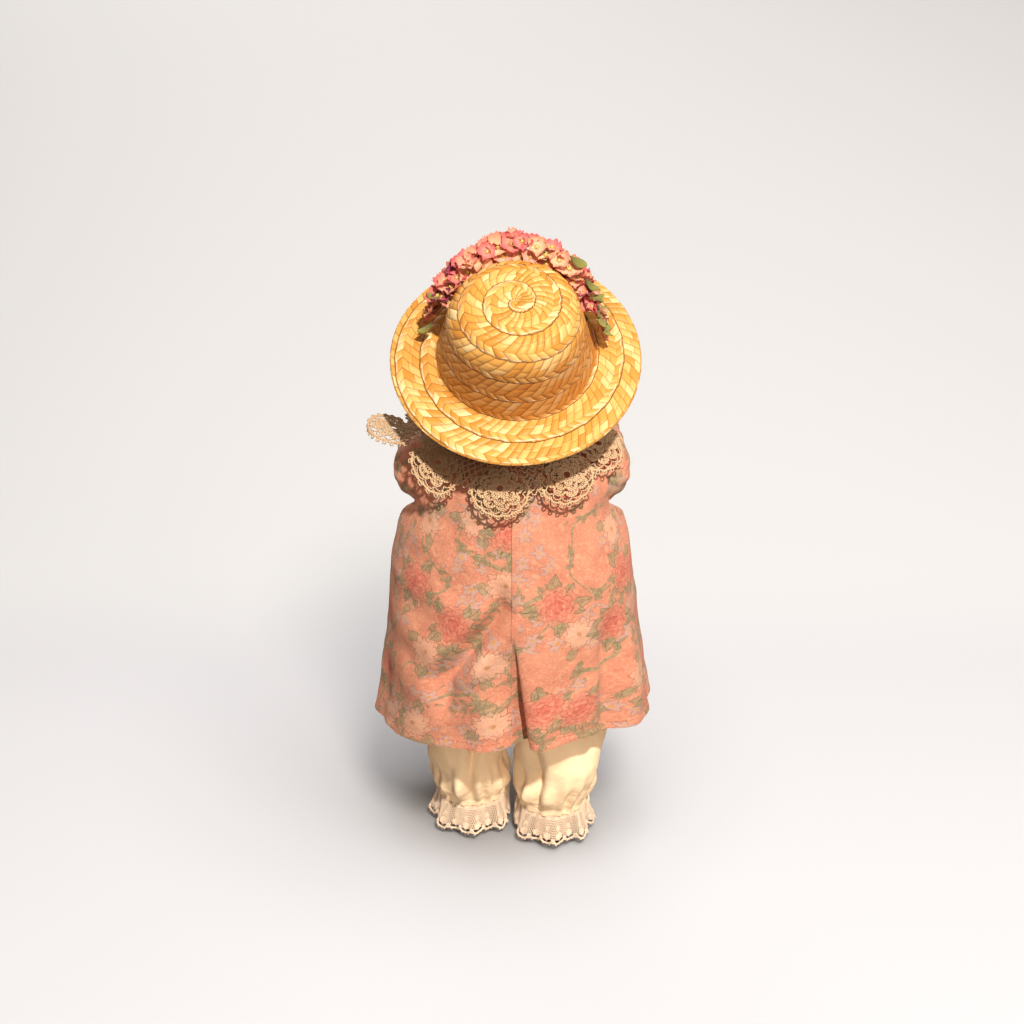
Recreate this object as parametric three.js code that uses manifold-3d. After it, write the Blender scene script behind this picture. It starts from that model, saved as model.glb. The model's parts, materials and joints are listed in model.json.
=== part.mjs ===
// A dressed play doll, 471 mm tall in her straw hat, standing with both hands before her face.
// Millimetres, +Z up. The origin lies on the floor below the middle of her, the doll faces -Y,
// and her left side is at +X. Rest pose: feet together, arms raised, hat tipped back.
import * as THREE from "three";
import { mergeVertices } from "three/addons/utils/BufferGeometryUtils.js";
import Module from "manifold-3d";

const wasm = await Module();
wasm.setup();

// General sizes
const GAP = 0.3; // between pieces that touch
const CLEAR = 200; // size of cutting boxes, well past what they cut
// The sizes below are measured from the neck's axis, which stands this far from the origin
const NECK_AXIS = { x: 0.9, y: 6.37 };
const CLOTH = 1.6; // thickness of the sewn cotton, folds and seams included

// Joints
const LEG_H = 168; // floor to hip joint
const TRUNK_H = 137; // hip joint to shoulder joint
const NECK_H = 11; // shoulder joint to the top of the neck ring
const HIP = { x: 31, z: LEG_H };
const SHOULDER = { x: 62, z: LEG_H + TRUNK_H };
const NECK_Z = SHOULDER.z + NECK_H;
const ARM_SWEEP_DEG = 25; // how far the raised arms come down

// Trunk
const TRUNK_WALL = 3;
const TRUNK_SIDE = 46; // flat faces that the arms turn on
const HIP_BALL_R = 24;
const CROTCH = { x: 5.4, y: 15, drop: 12 }; // the web between the legs that the hip cord passes through
const NECK_BORE_R = 15.4;
const CORD_R = 2.6;
const CORD_HOLE_R = 5;

// Head
const HEAD_UP = 60; // neck ring to the middle of the skull
const HEAD = { x: 0, y: 0, z: NECK_Z + HEAD_UP };
const SKULL = [46, 48, 50];
const JAW = { centre: [0, -9, HEAD.z - 22], half: [34.5, 37, 30] };
const NECK_R = 15;
const HEAD_WALL = 3;
const NOSE = { y: -49, z: HEAD.z - 10, r: 5.5 };
const HAIR = { centre: [0, 1, HEAD.z + 1.5], half: [50.5, 51.5, 52] };
const HAIR_BOTTOM_Z = HEAD.z - 42;
const FACE_OPENING = { centre: [0, -52, HEAD.z - 20], half: [39, 46, 44] };
const CURL_R = 7.5;
const CURL_SEAT = 1.7; // the ringlets lie in against the hair as it narrows
const CURL_TOP_Z = HEAD.z + 12;
const CURL_BOTTOM_Z = HEAD.z - 38;

// Straw hat, measured from the middle of its brim plane
const HAT = { x: -2.5, y: 12, z: HEAD.z + 18.5, tiltDeg: 34 };
const BRIM_R = 84.5;
const CROWN_BASE_R = 53;
const CROWN_TOP_R = 43;
const CROWN_H = 62;
const CROWN_EDGE_R = 15; // rounding between the crown's side and its top
const PLAIT_PITCH = 17; // width of one row of straw plait
const PLAIT_RISE = 1.2; // how far a row stands out
const STRAW = 2.2; // wall under the rows
const BAND_H = 14; // ribbon inside the crown
const BAND_T = 2;

// Flower garland on the front of the crown
const GARLAND_HALF_DEG = 62;
const GARLAND_H = 53;
const GARLAND_T = 1.8;
const BLOSSOM_R = 9.6;
const BLOSSOM_DEPTH = 5;
const LEAF_L = 17;
const LEAF_W = 8.5;

// Dress
const DRESS_HEM_Z = HIP.z - 59;
const HEM_BACK_RISE = 5; // the hem hangs lower in front
const NECK_DIP = 7;
const HEM_SLOPE = 0.06; // the hem hangs lower on the doll's left
const SLEEVE_R = 23.6; // sleeve head, round about the shoulder joint
const ARMHOLE = 50;
const ARM_RECESS = 0.44; // the front is drawn in under the raised arms
const VALLEY = { x: -7, depth: 13, halfWidth: 17, topZ: HIP.z + 47 };

// Crochet collar
const SCALLOPS = 10;
const SCALLOP_AT = 84; // degrees round from the doll's left to the scallop at the back
const FLARE = { out: 19, up: 20 }; // the scallop on the doll's left shoulder stands up
const COLLAR_T = 1.6;
const COLLAR_OFF = 1.7; // clear of the dress

// Legs
const LEG_LEAN = 8; // the left foot stands forward by this, the right foot back
const GATHER_Z = 28; // elastic at the ankle
const RUFFLE_H = 22;
const SOLE_T = 4;
const FOOT_HALF_W = 18;
const FOOT_TOE = 55;
const FOOT_HEEL = 21;
const ANKLE_R = 22; // at the elastic
const ELASTIC_T = 1.4;

// Colours seen in daylight
const COLOURS = {
  skin: 0xe9bd9f, straw: 0xdca24a, ribbon: 0xe6d9b8, wire: 0x6f7f4b, pink: 0xe58a80, leaf: 0x7d8148,
  print: 0xe79a80, ecru: 0xe3cfa6, cream: 0xeadbb9, lace: 0xe6d8c4, hair: 0x4b2a1a, shoe: 0x3a2118,
  elastic: 0xe9e2d2, steel: 0x9a9a98, pearl: 0xf2ead8,
};

const doll = new THREE.Group();
const deg = THREE.MathUtils.degToRad;
const lerp = THREE.MathUtils.lerp;
const smooth = THREE.MathUtils.smoothstep;

function place(name, geometry, colour, { roughness = 0.8, metalness = 0, parent = doll } = {}) {
  const material = new THREE.MeshStandardMaterial({ color: COLOURS[colour], roughness, metalness });
  const mesh = new THREE.Mesh(geometry, material);
  mesh.name = name;
  parent.add(mesh);
  return mesh;
}

// Turns a list of equal rings of points into one closed body. An open loft gets a fan at each end,
// a looped one joins its last ring to its first.
function loft(rings, { looped = false } = {}) {
  const n = rings[0].length;
  const points = rings.flat();
  const faces = [];
  const last = looped ? rings.length : rings.length - 1;
  for (let i = 0; i < last; i++) {
    const a = i * n;
    const b = ((i + 1) % rings.length) * n;
    for (let j = 0; j < n; j++) {
      const k = (j + 1) % n;
      faces.push([a + j, a + k, b + k], [a + j, b + k, b + j]);
    }
  }
  if (!looped) {
    for (const [start, flip] of [[0, true], [(rings.length - 1) * n, false]]) {
      const centre = new THREE.Vector3();
      for (let j = 0; j < n; j++) centre.add(new THREE.Vector3(...points[start + j]));
      centre.divideScalar(n);
      points.push(centre.toArray());
      const c = points.length - 1;
      for (let j = 0; j < n; j++) {
        const k = (j + 1) % n;
        faces.push(flip ? [start + k, start + j, c] : [start + j, start + k, c]);
      }
    }
  }
  return fromFaces(points, faces);
}

// Builds the geometry and turns its faces outwards
function fromFaces(points, faces) {
  const [a, b, c] = [new THREE.Vector3(), new THREE.Vector3(), new THREE.Vector3()];
  let volume = 0;
  for (const f of faces) {
    a.fromArray(points[f[0]]);
    b.fromArray(points[f[1]]);
    c.fromArray(points[f[2]]);
    volume += a.dot(b.cross(c));
  }
  const index = faces.flatMap((f) => (volume < 0 ? [f[0], f[2], f[1]] : f));
  const geometry = new THREE.BufferGeometry();
  geometry.setAttribute("position", new THREE.Float32BufferAttribute(points.flat(), 3));
  geometry.setIndex(index);
  return geometry;
}

// Solids for cutting and joining
function solid(geometry) {
  const bare = geometry.clone();
  bare.deleteAttribute("normal");
  bare.deleteAttribute("uv");
  const merged = mergeVertices(bare, 1e-4);
  const mesh = new wasm.Mesh({
    numProp: 3,
    vertProperties: new Float32Array(merged.attributes.position.array),
    triVerts: new Uint32Array(merged.index.array),
  });
  return new wasm.Manifold(mesh);
}

function toGeometry(body) {
  const mesh = body.getMesh();
  const geometry = new THREE.BufferGeometry();
  geometry.setAttribute("position", new THREE.BufferAttribute(mesh.vertProperties, 3));
  geometry.setIndex(new THREE.BufferAttribute(mesh.triVerts, 1));
  return geometry;
}

const join = (list) => list.reduce((sum, next) => sum.add(next));
const cut = (body, list) => list.reduce((left, next) => left.subtract(next), body);

// An ellipsoid about a centre
function egg([x, y, z], [rx, ry, rz], across = 20, down = 12) {
  const geometry = new THREE.SphereGeometry(1, across, down);
  geometry.rotateX(Math.PI / 2);
  return geometry.scale(rx, ry, rz).translate(x, y, z);
}

// A round bar between two points, its ends flat, its radius changing evenly
function bar(from, to, r0, r1 = r0, sides = 16) {
  const a = new THREE.Vector3(...from);
  const b = new THREE.Vector3(...to);
  const geometry = new THREE.CylinderGeometry(r1, r0, a.distanceTo(b), sides);
  const turn = new THREE.Quaternion().setFromUnitVectors(
    new THREE.Vector3(0, 1, 0), b.clone().sub(a).normalize());
  return geometry.applyQuaternion(turn).translate((a.x + b.x) / 2, (a.y + b.y) / 2, (a.z + b.z) / 2);
}

// A limb swept through stations of place and radius, with its ends rounded off
function limb(stations, sides = 12) {
  const places = stations.map(([p]) => new THREE.Vector3(...p));
  const path = new THREE.CatmullRomCurve3(places, false, "centripetal");
  const steps = stations.length > 2 ? (stations.length - 1) * 2 : 1;
  const across = new THREE.Vector3(0, 0, 1);
  const rings = [];
  const ring = (centre, along, r) => {
    const u = across.clone().addScaledVector(along, -across.dot(along)).normalize();
    across.copy(u);
    const v = along.clone().cross(u);
    const points = [];
    for (let j = 0; j < sides; j++) {
      const t = (2 * Math.PI * j) / sides;
      const p = centre.clone().addScaledVector(u, r * Math.cos(t)).addScaledVector(v, r * Math.sin(t));
      points.push(p.toArray());
    }
    rings.push(points);
  };
  if (Math.abs(path.getTangent(0).z) > 0.9) across.set(1, 0, 0);
  for (let i = 0; i <= steps; i++) {
    const t = i / steps;
    const k = Math.min(Math.floor(t * (stations.length - 1)), stations.length - 2);
    const r = lerp(stations[k][1], stations[k + 1][1], t * (stations.length - 1) - k);
    const along = path.getTangent(t);
    const centre = path.getPoint(t);
    if (i === 0) ring(centre.clone().addScaledVector(along, -0.75 * r), along, 0.6 * r);
    ring(centre, along, r);
    if (i === steps) ring(centre.clone().addScaledVector(along, 0.75 * r), along, 0.6 * r);
  }
  return solid(loft(rings));
}

// Rings of a body drawn as ellipses: half width, half depth and height, with an optional change of form
function ellipseRing(n, w, d, z, { cx = 0, cy = 0, shape = (x, y) => [x, y] } = {}) {
  const ring = [];
  for (let j = 0; j < n; j++) {
    const t = (2 * Math.PI * j) / n;
    const [x, y, dz = 0] = shape(w * Math.cos(t), d * Math.sin(t), t);
    ring.push([cx + x, cy + y, z + dz]);
  }
  return ring;
}

// Trunk: a hollow shell with flat sides for the arms, round sockets for the thighs and a neck ring
const TRUNK_RINGS = [
  [45, 34, HIP.z + 0.6], [51, 39, HIP.z + 17], [44, 33, HIP.z + 57], [49, 34, SHOULDER.z - 20],
  [50, 32, SHOULDER.z - 2], [42, 28, SHOULDER.z + 6], [20, 20, NECK_Z - 2.5], [20, 20, NECK_Z],
];
const TRUNK_HOLLOW = [
  [40, 30, HIP.z + 32], [44, 33, HIP.z + 57], [47, 34, SHOULDER.z - 30],
  [46, 31, SHOULDER.z - 5], [30, 24, SHOULDER.z + 3],
];

function trunkForm(rows, inset, sides) {
  return solid(loft(rows.map(([w, d, z]) => ellipseRing(sides, w - inset, d - inset, z))));
}

function trunkShell() {
  const box = new THREE.BoxGeometry(2 * TRUNK_SIDE, CLEAR, 2 * NECK_Z).translate(0, 0, NECK_Z);
  const socket = (side, r) => solid(egg([side * HIP.x, 0, HIP.z], [r, r, r], 14, 8));
  const socketR = HIP_BALL_R + GAP + 0.5; // the sockets and balls are faceted
  const web = new THREE.BoxGeometry(2 * CROTCH.x, 2 * CROTCH.y, 24).translate(0, 0, HIP.z - CROTCH.drop + 12);
  const outer = trunkForm(TRUNK_RINGS, 0, 20).intersect(solid(box)).add(solid(web));
  const hollow = trunkForm(TRUNK_HOLLOW, TRUNK_WALL, 14);
  const neckHole = solid(bar([0, 0, NECK_Z - 12], [0, 0, NECK_Z + 5], NECK_BORE_R, NECK_BORE_R, 20));
  const armHole = solid(bar([-60, 0, SHOULDER.z], [60, 0, SHOULDER.z], CORD_HOLE_R, CORD_HOLE_R, 10));
  const hipHole = solid(bar([-20, 0, HIP.z], [20, 0, HIP.z], CORD_HOLE_R, CORD_HOLE_R, 10));
  const cordHole = solid(bar([0, 0, HIP.z], [0, 0, HIP.z + 45], CORD_HOLE_R, CORD_HOLE_R, 10));
  const sockets = [-1, 1].map((side) => socket(side, socketR));
  return toGeometry(cut(outer, [hollow, neckHole, armHole, hipHole, cordHole, ...sockets]));
}

// Elastic stringing: one cord from arm to arm, one from leg to leg, one between them
function stringing() {
  const armEnd = SHOULDER.x - 11;
  const hipEnd = HIP.x - 14;
  const ring = 5.6;
  const across = bar([-armEnd, 0, SHOULDER.z], [armEnd, 0, SHOULDER.z], CORD_R, CORD_R, 10);
  place("shoulder_cord", across, "elastic");
  place("hip_cord", bar([-hipEnd, 0, HIP.z], [hipEnd, 0, HIP.z], CORD_R, CORD_R, 10), "elastic");
  const bottom = HIP.z + CORD_R + GAP;
  const top = SHOULDER.z - ring - 1.5 - GAP;
  place("body_cord", bar([0, 0, bottom], [0, 0, top], CORD_R, CORD_R, 10), "elastic");
  const loop = new THREE.TorusGeometry(ring, 1.5, 6, 14).rotateY(Math.PI / 2).translate(0, 0, SHOULDER.z);
  const stem = bar([0, 0, SHOULDER.z + ring], [0, 0, NECK_Z + 1], 1.6, 1.6, 8);
  const cap = bar([0, 0, NECK_Z + 0.2], [0, 0, NECK_Z + 3], 5, 4, 14);
  place("neck_hook", toGeometry(join([solid(loop), solid(stem), solid(cap)])), "steel",
    { roughness: 0.35, metalness: 1 });
  const plugR = NECK_R - HEAD_WALL - GAP;
  const plug = solid(bar([0, 0, NECK_Z - 2.8], [0, 0, NECK_Z - 0.2], plugR, plugR, 20));
  const eye = solid(bar([0, 0, NECK_Z - 10], [0, 0, NECK_Z + 2], 2.1, 2.1, 12));
  place("neck_plug", toGeometry(cut(plug, [eye])), "pearl");
}

// A screw eye in the bored end of a limb, turning with it about the joint's axis
function limbHook(name, side, from, to, z) {
  const shank = solid(bar([side * from, 0, z], [side * to, 0, z], 3.6, 3.6, 12));
  const seat = solid(bar([side * from, 0, z], [side * (from + 1.5), 0, z], 4.6, 4.6, 12));
  place(name, toGeometry(join([shank, seat])), "steel", { roughness: 0.35, metalness: 1 });
}

// Head
function headShell() {
  const skull = egg([HEAD.x, HEAD.y, HEAD.z], SKULL, 18, 11);
  const jaw = egg(JAW.centre, JAW.half, 14, 8);
  const neck = bar([0, 0, NECK_Z - 7.5], [0, 0, HEAD.z - 26], NECK_R, NECK_R, 20);
  const flange = bar([0, 0, NECK_Z + GAP], [0, 0, NECK_Z + 6], 18.5, 17, 20);
  const nose = egg([0, NOSE.y, NOSE.z], [NOSE.r, NOSE.r, NOSE.r], 8, 6);
  const outer = join([solid(skull), solid(jaw), solid(neck), solid(flange), solid(nose)]);
  const thin = (half) => half.map((r) => r - HEAD_WALL);
  const innerR = NECK_R - HEAD_WALL;
  const hollows = [
    solid(egg([HEAD.x, HEAD.y, HEAD.z], thin(SKULL), 12, 8)),
    solid(bar([0, 0, NECK_Z - 20], [0, 0, HEAD.z - 26], innerR, innerR, 16)),
  ];
  const crown = solid(bar([0, 4, HEAD.z + 30], [0, 20, HEAD.z + 70], 27, 27, 16));
  return toGeometry(cut(outer, [...hollows, crown]));
}

function wig() {
  const outer = solid(egg(HAIR.centre, HAIR.half, 18, 11));
  const clear = GAP + 0.2;
  const grown = (half) => half.map((r) => r + clear);
  const head = [
    solid(egg([HEAD.x, HEAD.y, HEAD.z], grown(SKULL), 18, 11)),
    solid(egg(JAW.centre, grown(JAW.half), 14, 8)),
  ];
  const face = solid(egg(FACE_OPENING.centre, FACE_OPENING.half, 14, 8));
  const below = solid(new THREE.BoxGeometry(CLEAR, CLEAR, 60).translate(0, 0, HAIR_BOTTOM_Z - 30));
  return toGeometry(cut(outer, [...head, face, below]));
}

// Ringlets beside the cheeks, as wound tapers
function curl(side, y, topZ) {
  const away = Math.sqrt(1 - ((y - HAIR.centre[1]) / HAIR.half[1]) ** 2) * HAIR.half[0];
  const rings = [];
  const steps = 7;
  for (let i = 0; i <= steps; i++) {
    const t = i / steps;
    const z = lerp(topZ, CURL_BOTTOM_Z, t);
    const r = CURL_R * (0.55 + 0.45 * Math.sin(Math.PI * Math.min(1, 0.2 + 0.85 * t))) * (i % 2 ? 1 : 0.86);
    rings.push(ellipseRing(8, r, r, z, { cx: side * (away + CURL_R + GAP - CURL_SEAT), cy: y }));
  }
  return loft(rings);
}

// Straw hat: rows of plait sewn in one spiral from the middle of the crown out to the brim's edge
function hatProfile() {
  const path = new THREE.CurvePath();
  const edge = CROWN_TOP_R;
  const topR = edge - CROWN_EDGE_R;
  const v = (x, y) => new THREE.Vector2(x, y);
  const curve = (a, b, c) => path.add(new THREE.QuadraticBezierCurve(a, b, c));
  curve(v(0, CROWN_H), v(topR * 0.6, CROWN_H - 0.5), v(topR, CROWN_H - 3));
  curve(v(topR, CROWN_H - 3), v(edge - 1, CROWN_H - 6), v(edge + 1, CROWN_H - 22));
  path.add(new THREE.LineCurve(v(edge + 1, CROWN_H - 22), v(CROWN_BASE_R - 1, 4)));
  curve(v(CROWN_BASE_R - 1, 4), v(CROWN_BASE_R, 1), v(CROWN_BASE_R + 4, 0.8));
  curve(v(CROWN_BASE_R + 4, 0.8), v(70, 0), v(BRIM_R, -1.5));
  return path;
}

function strawHat() {
  const around = 26;
  const path = hatProfile();
  const length = path.getLength();
  const rowSteps = 5;
  const steps = Math.round((length / PLAIT_PITCH) * rowSteps);
  const innerSteps = 10;
  const outer = [];
  const inner = [];
  const at = (s) => {
    const p = path.getPointAt(THREE.MathUtils.clamp(s / length, 0, 1));
    const q = path.getTangentAt(THREE.MathUtils.clamp(s / length, 0.001, 0.999));
    return [p.x, p.y, -q.y, q.x];
  };
  for (let i = 1; i <= steps; i++) {
    const s = (length * i) / steps;
    const ring = [];
    for (let j = 0; j < around; j++) {
      const turn = j / around;
      const phase = (((s / PLAIT_PITCH - turn) % 1) + 1) % 1;
      const fade = smooth(s, 0, PLAIT_PITCH) * smooth(length - s, 0, 1);
      const rise = STRAW / 2 + PLAIT_RISE * fade * (0.25 + 0.75 * Math.sin(Math.PI * phase));
      const [r, h, nr, nh] = at(s);
      const angle = 2 * Math.PI * turn;
      const rr = r + rise * nr;
      ring.push([rr * Math.cos(angle), rr * Math.sin(angle), h + rise * nh]);
    }
    outer.push(ring);
  }
  for (let i = innerSteps; i >= 1; i--) {
    const [r, h, nr, nh] = at((length * i) / innerSteps);
    const rr = Math.max(r - (STRAW / 2) * nr, 2);
    inner.push(ellipseRing(around, rr, rr, h - (STRAW / 2) * nh));
  }
  return loft([...outer, ...inner]);
}

// The crown's radius at a height above the brim, read off its profile
function crownWall(h) {
  const points = hatProfile().getSpacedPoints(240).filter((p) => p.x < CROWN_BASE_R + 1);
  const below = points.findIndex((p) => p.y <= h);
  return below < 1 ? 0 : points[below].x;
}

// The garland's band of bound stems, hugging the front of the crown
function garlandBand() {
  const steps = 18;
  const sections = [];
  for (let i = 0; i <= steps; i++) {
    const along = (2 * i) / steps - 1;
    const angle = -Math.PI / 2 + along * deg(GARLAND_HALF_DEG);
    const top = lerp(18, GARLAND_H, Math.sqrt(1 - along * along * 0.95));
    const levels = [4.5, lerp(4.5, top, 0.5), top];
    const section = [];
    for (const h of levels) section.push([bandInner(h), h]);
    for (const h of [...levels].reverse()) section.push([bandInner(h) + GARLAND_T, h]);
    sections.push(section.map(([r, h]) => [r * Math.cos(angle), r * Math.sin(angle), h]));
  }
  return loft(sections);
}

const bandInner = (h) => crownWall(h) + STRAW / 2 + PLAIT_RISE + GAP + 0.2 + 0.16 * Math.max(0, h - 40);

// A five-petalled cloth blossom, its back on the plane z = 0
function blossomForm(radius, twist) {
  const n = 15;
  const petal = (t) => 0.74 + 0.26 * Math.abs(Math.cos(2.5 * t + twist));
  const ring = (scale, z, lobed) => ellipseRing(n, 1, 1, z, {
    shape: (x, y, t) => {
      const r = radius * scale * (lobed ? petal(t) : 1);
      return [r * x, r * y];
    },
  });
  return loft([ring(0.28, 0, false), ring(1, BLOSSOM_DEPTH, true), ring(0.22, BLOSSOM_DEPTH * 0.5, false)]);
}

function leafForm() {
  const n = 12;
  const ring = (scale, z) => ellipseRing(n, (LEAF_W / 2) * scale, (LEAF_L / 2) * scale, z, {
    shape: (x, y) => [x * (1 - 0.25 * Math.sign(y) * (y / LEAF_L)), y],
  });
  return loft([ring(0.9, 0), ring(1, 1.4)]);
}

// Sets a piece on the band, facing out from the crown, leaning up by some degrees
function onBand(mesh, angleDeg, h, leanDeg) {
  const angle = deg(-90 + angleDeg);
  const r = bandInner(h) + GARLAND_T + GAP + 0.35;
  const out = new THREE.Vector3(Math.cos(angle), Math.sin(angle), Math.tan(deg(leanDeg))).normalize();
  const basis = new THREE.Quaternion().setFromUnitVectors(new THREE.Vector3(0, 0, 1), out);
  mesh.quaternion.copy(basis);
  mesh.position.set(r * Math.cos(angle), r * Math.sin(angle), h);
}

function buildHat() {
  const hat = new THREE.Group();
  hat.position.set(HAT.x, HAT.y, HAT.z);
  hat.rotation.x = -deg(HAT.tiltDeg);
  doll.add(hat);
  place("straw_hat", strawHat(), "straw", { roughness: 0.55, parent: hat });
  const wall = CROWN_BASE_R - STRAW / 2 - GAP - 0.6;
  const top = wall - BAND_H * 0.24;
  const foot = 1.5;
  const inside = [[top - BAND_T, BAND_H], [wall - BAND_T, foot]];
  const section = [[wall - BAND_T, foot], [wall, foot], [top, BAND_H], ...inside];
  const ribbon = new THREE.LatheGeometry(section.map(([r, h]) => new THREE.Vector2(r, h)), 28);
  ribbon.rotateX(Math.PI / 2);
  place("hat_band", ribbon, "ribbon", { parent: hat });
  place("garland_band", garlandBand(), "wire", { parent: hat });
  const tiers = [[14.5, 6, 52, 10], [33.5, 5, 44, 12], [50.5, 3, 23, 30]];
  let number = 1;
  for (const [h, count, half, lean] of tiers) {
    for (let i = 0; i < count; i++) {
      const angle = lerp(-half, half, i / (count - 1));
      const name = `blossom_${String(number).padStart(2, "0")}`;
      const form = blossomForm(BLOSSOM_R, number * 0.7);
      onBand(place(name, form, "pink", { parent: hat }), angle, h, lean);
      number += 1;
    }
  }
  for (const [i, angle, h] of [[1, -59, 30], [2, 59, 30], [3, 37, 47]]) {
    onBand(place(`leaf_${i}`, leafForm(), "leaf", { parent: hat }), angle, h, 8);
  }
}

// Arms: shoulder ball, bent elbow, and a hand held flat before the face
// Points of the arm: out from the middle, forward, and up from the shoulder joint
const FOREARM = [52, -71, 10];
const CUFF = [45, -73, 24]; // where the sleeve ends
const WRIST = [38, -73, 37];
const PALM = [27, -69.5, 58];
const onSide = (side, [x, y, up]) => [side * x, y, SHOULDER.z + up];

function armSolid(side) {
  const at = (p) => onSide(side, p);
  const shoulder = solid(egg([side * SHOULDER.x, 0, SHOULDER.z], [19, 19, 19], 14, 8));
  const chain = limb([
    [at([62.5, -4, -1]), 16.5], [at([65, -42, -12]), 15], [at([65, -63, -11]), 14],
    [at([56, -71, 4]), 13.4], [at(WRIST), 9.2], [at([30, -71, 49]), 7],
  ]);
  const palm = solid(egg([0, 0, 0], [11.5, 6, 14], 10, 7).rotateY(side * -deg(24)).translate(...at(PALM)));
  const fingers = [];
  for (let i = 0; i < 4; i++) {
    const rootUp = lerp(71, 65, i / 3);
    const base = at([lerp(29.5, 13.5, i / 3), -69, rootUp]);
    const reach = [20, 23, 22, 17][i];
    const tip = at([lerp(22, 4.9, i / 3) + 1, -67, rootUp + reach]);
    fingers.push(limb([[base, 4.4], [tip, 3.8]], 6));
  }
  const thumb = limb([[at([31, -68, 53]), 5], [at([40, -65.5, 66]), 4.2]], 6);
  const flat = new THREE.BoxGeometry(100, 80, 80).translate(side * (TRUNK_SIDE + GAP - 50), 0, SHOULDER.z);
  const bore = bar([0, 0, SHOULDER.z], [side * 60, 0, SHOULDER.z], 5, 5, 12);
  const whole = join([shoulder, chain, palm, thumb, ...fingers]);
  return toGeometry(cut(whole, [solid(flat), solid(bore)]));
}

function forearmAxis(side) {
  const elbowEnd = new THREE.Vector3(...onSide(side, FOREARM));
  return new THREE.Vector3(...onSide(side, WRIST)).sub(elbowEnd).normalize();
}

function sleeveForm(side, inset) {
  const at = (p) => onSide(side, p);
  const head = solid(egg([side * SHOULDER.x, 0, SHOULDER.z], Array(3).fill(SLEEVE_R - inset), 14, 8));
  const tube = limb([[at([62.5, -8, -1.5]), 21.2 - inset], [at([65, -48, -13.5]), 20.8 - inset],
    [at([62, -68, -6]), 20 - inset], [at(CUFF), 14.5 - inset]], 12);
  return head.add(tube);
}

function sleeve(side) {
  const flat = new THREE.BoxGeometry(100, 80, 80).translate(side * (TRUNK_SIDE + 4 - 50), 0, SHOULDER.z);
  const along = forearmAxis(side);
  const end = new THREE.Vector3(...onSide(side, CUFF)).addScaledVector(along, 3);
  const far = end.clone().addScaledVector(along, 40);
  const open = bar(end.toArray(), far.toArray(), 40, 40, 12);
  return toGeometry(cut(sleeveForm(side, 0), [sleeveForm(side, CLOTH), solid(flat), solid(open)]));
}

// A gathered frill round an axis: rings of waves, thin, standing off its inner edge
function frill(
  { centre, axis, inner, r0, r1, height, waves, depth, sides, thick = 1.2, form = () => [1, 0] },
) {
  const turn = new THREE.Quaternion().setFromUnitVectors(new THREE.Vector3(0, 0, 1), axis);
  const ring = (t, off) => {
    const points = [];
    for (let j = 0; j < sides; j++) {
      const a = (2 * Math.PI * j) / sides;
      const [wide, lift] = form(a, t);
      const wave = depth * t * Math.cos(waves * a);
      const r = (lerp(r0, r1, t) * wide + wave) + off;
      const p = new THREE.Vector3(Math.max(r, inner) * Math.cos(a), Math.max(r, inner) * Math.sin(a),
        -height * t + lift);
      points.push(p.applyQuaternion(turn).add(centre).toArray());
    }
    return points;
  };
  return loft([ring(0, thick), ring(1, thick), ring(1, 0), ring(0, 0)], { looped: true });
}

function cuffLace(side) {
  const along = forearmAxis(side);
  const centre = new THREE.Vector3(...onSide(side, CUFF)).addScaledVector(along, 3 + GAP);
  const axis = along.clone().negate();
  return frill({ centre, axis, inner: 13, r0: 13.4, r1: 18, height: 14, waves: 8, depth: 1.6, sides: 32 });
}

// Dress: hangs from the neck over the shoulders, straight in the body and flared at the hem
const DRESS_RINGS = [
  [27, 24, NECK_Z + 11.5], [45, 34, NECK_Z + 10], [60, 42.5, NECK_Z + 7], [71, 47.5, NECK_Z + 1],
  [77, 50, SHOULDER.z + 3], [79, 51.5, SHOULDER.z - 13], [82, 54, SHOULDER.z - 37], [87, 58, SHOULDER.z - 63],
  [90, 62, HIP.z + 42], [92.5, 65, HIP.z + 7], [96, 68.5, HIP.z - 26], [100, 71.5, DRESS_HEM_Z],
];

// The folds: a deep inverted fold at the centre of the back, a slanting hollow beside it, and soft flutes
function dressFold(x, y, z, w, d) {
  const down = smooth(VALLEY.topZ - z, 0, VALLEY.topZ - DRESS_HEM_Z);
  const back = y > 0 ? 1 : 0;
  const nearValley = (x - VALLEY.x) / VALLEY.halfWidth;
  let push = -back * VALLEY.depth * down * Math.exp(-nearValley * nearValley * 2.2);
  const slantX = lerp(6, 45, THREE.MathUtils.clamp((VALLEY.topZ - z) / 55, 0, 1));
  const slant = (x - slantX) / 17;
  const alongSlant = THREE.MathUtils.clamp((VALLEY.topZ + 25 - z) / 110, 0, 1);
  push -= back * 4 * Math.exp(-slant * slant) * Math.sin(Math.PI * alongSlant);
  const angle = Math.atan2(y / d, x / w);
  const flare = smooth(VALLEY.topZ + 35 - z, 0, 143);
  push += flare * 2.6 * Math.cos(7 * angle + 0.6);
  const right = smooth(-x / w, 0.5, 1);
  push += flare * 5 * right;
  const f = 1 + push / Math.hypot(w * Math.cos(angle), d * Math.sin(angle));
  const chest = smooth(z, HIP.z + 30, HIP.z + 78);
  const besideArm = smooth(Math.abs(x) / w, 0.28, 0.6) * chest * smooth(-y / d, 0, 0.3);
  return [x * f, y * f * (1 - ARM_RECESS * besideArm)];
}

// The neckline dips under the chin
const neckDip = (sine, level) => -NECK_DIP * smooth(-sine, 0.1, 1) * Math.max(0, 1 - level / 3);

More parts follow.
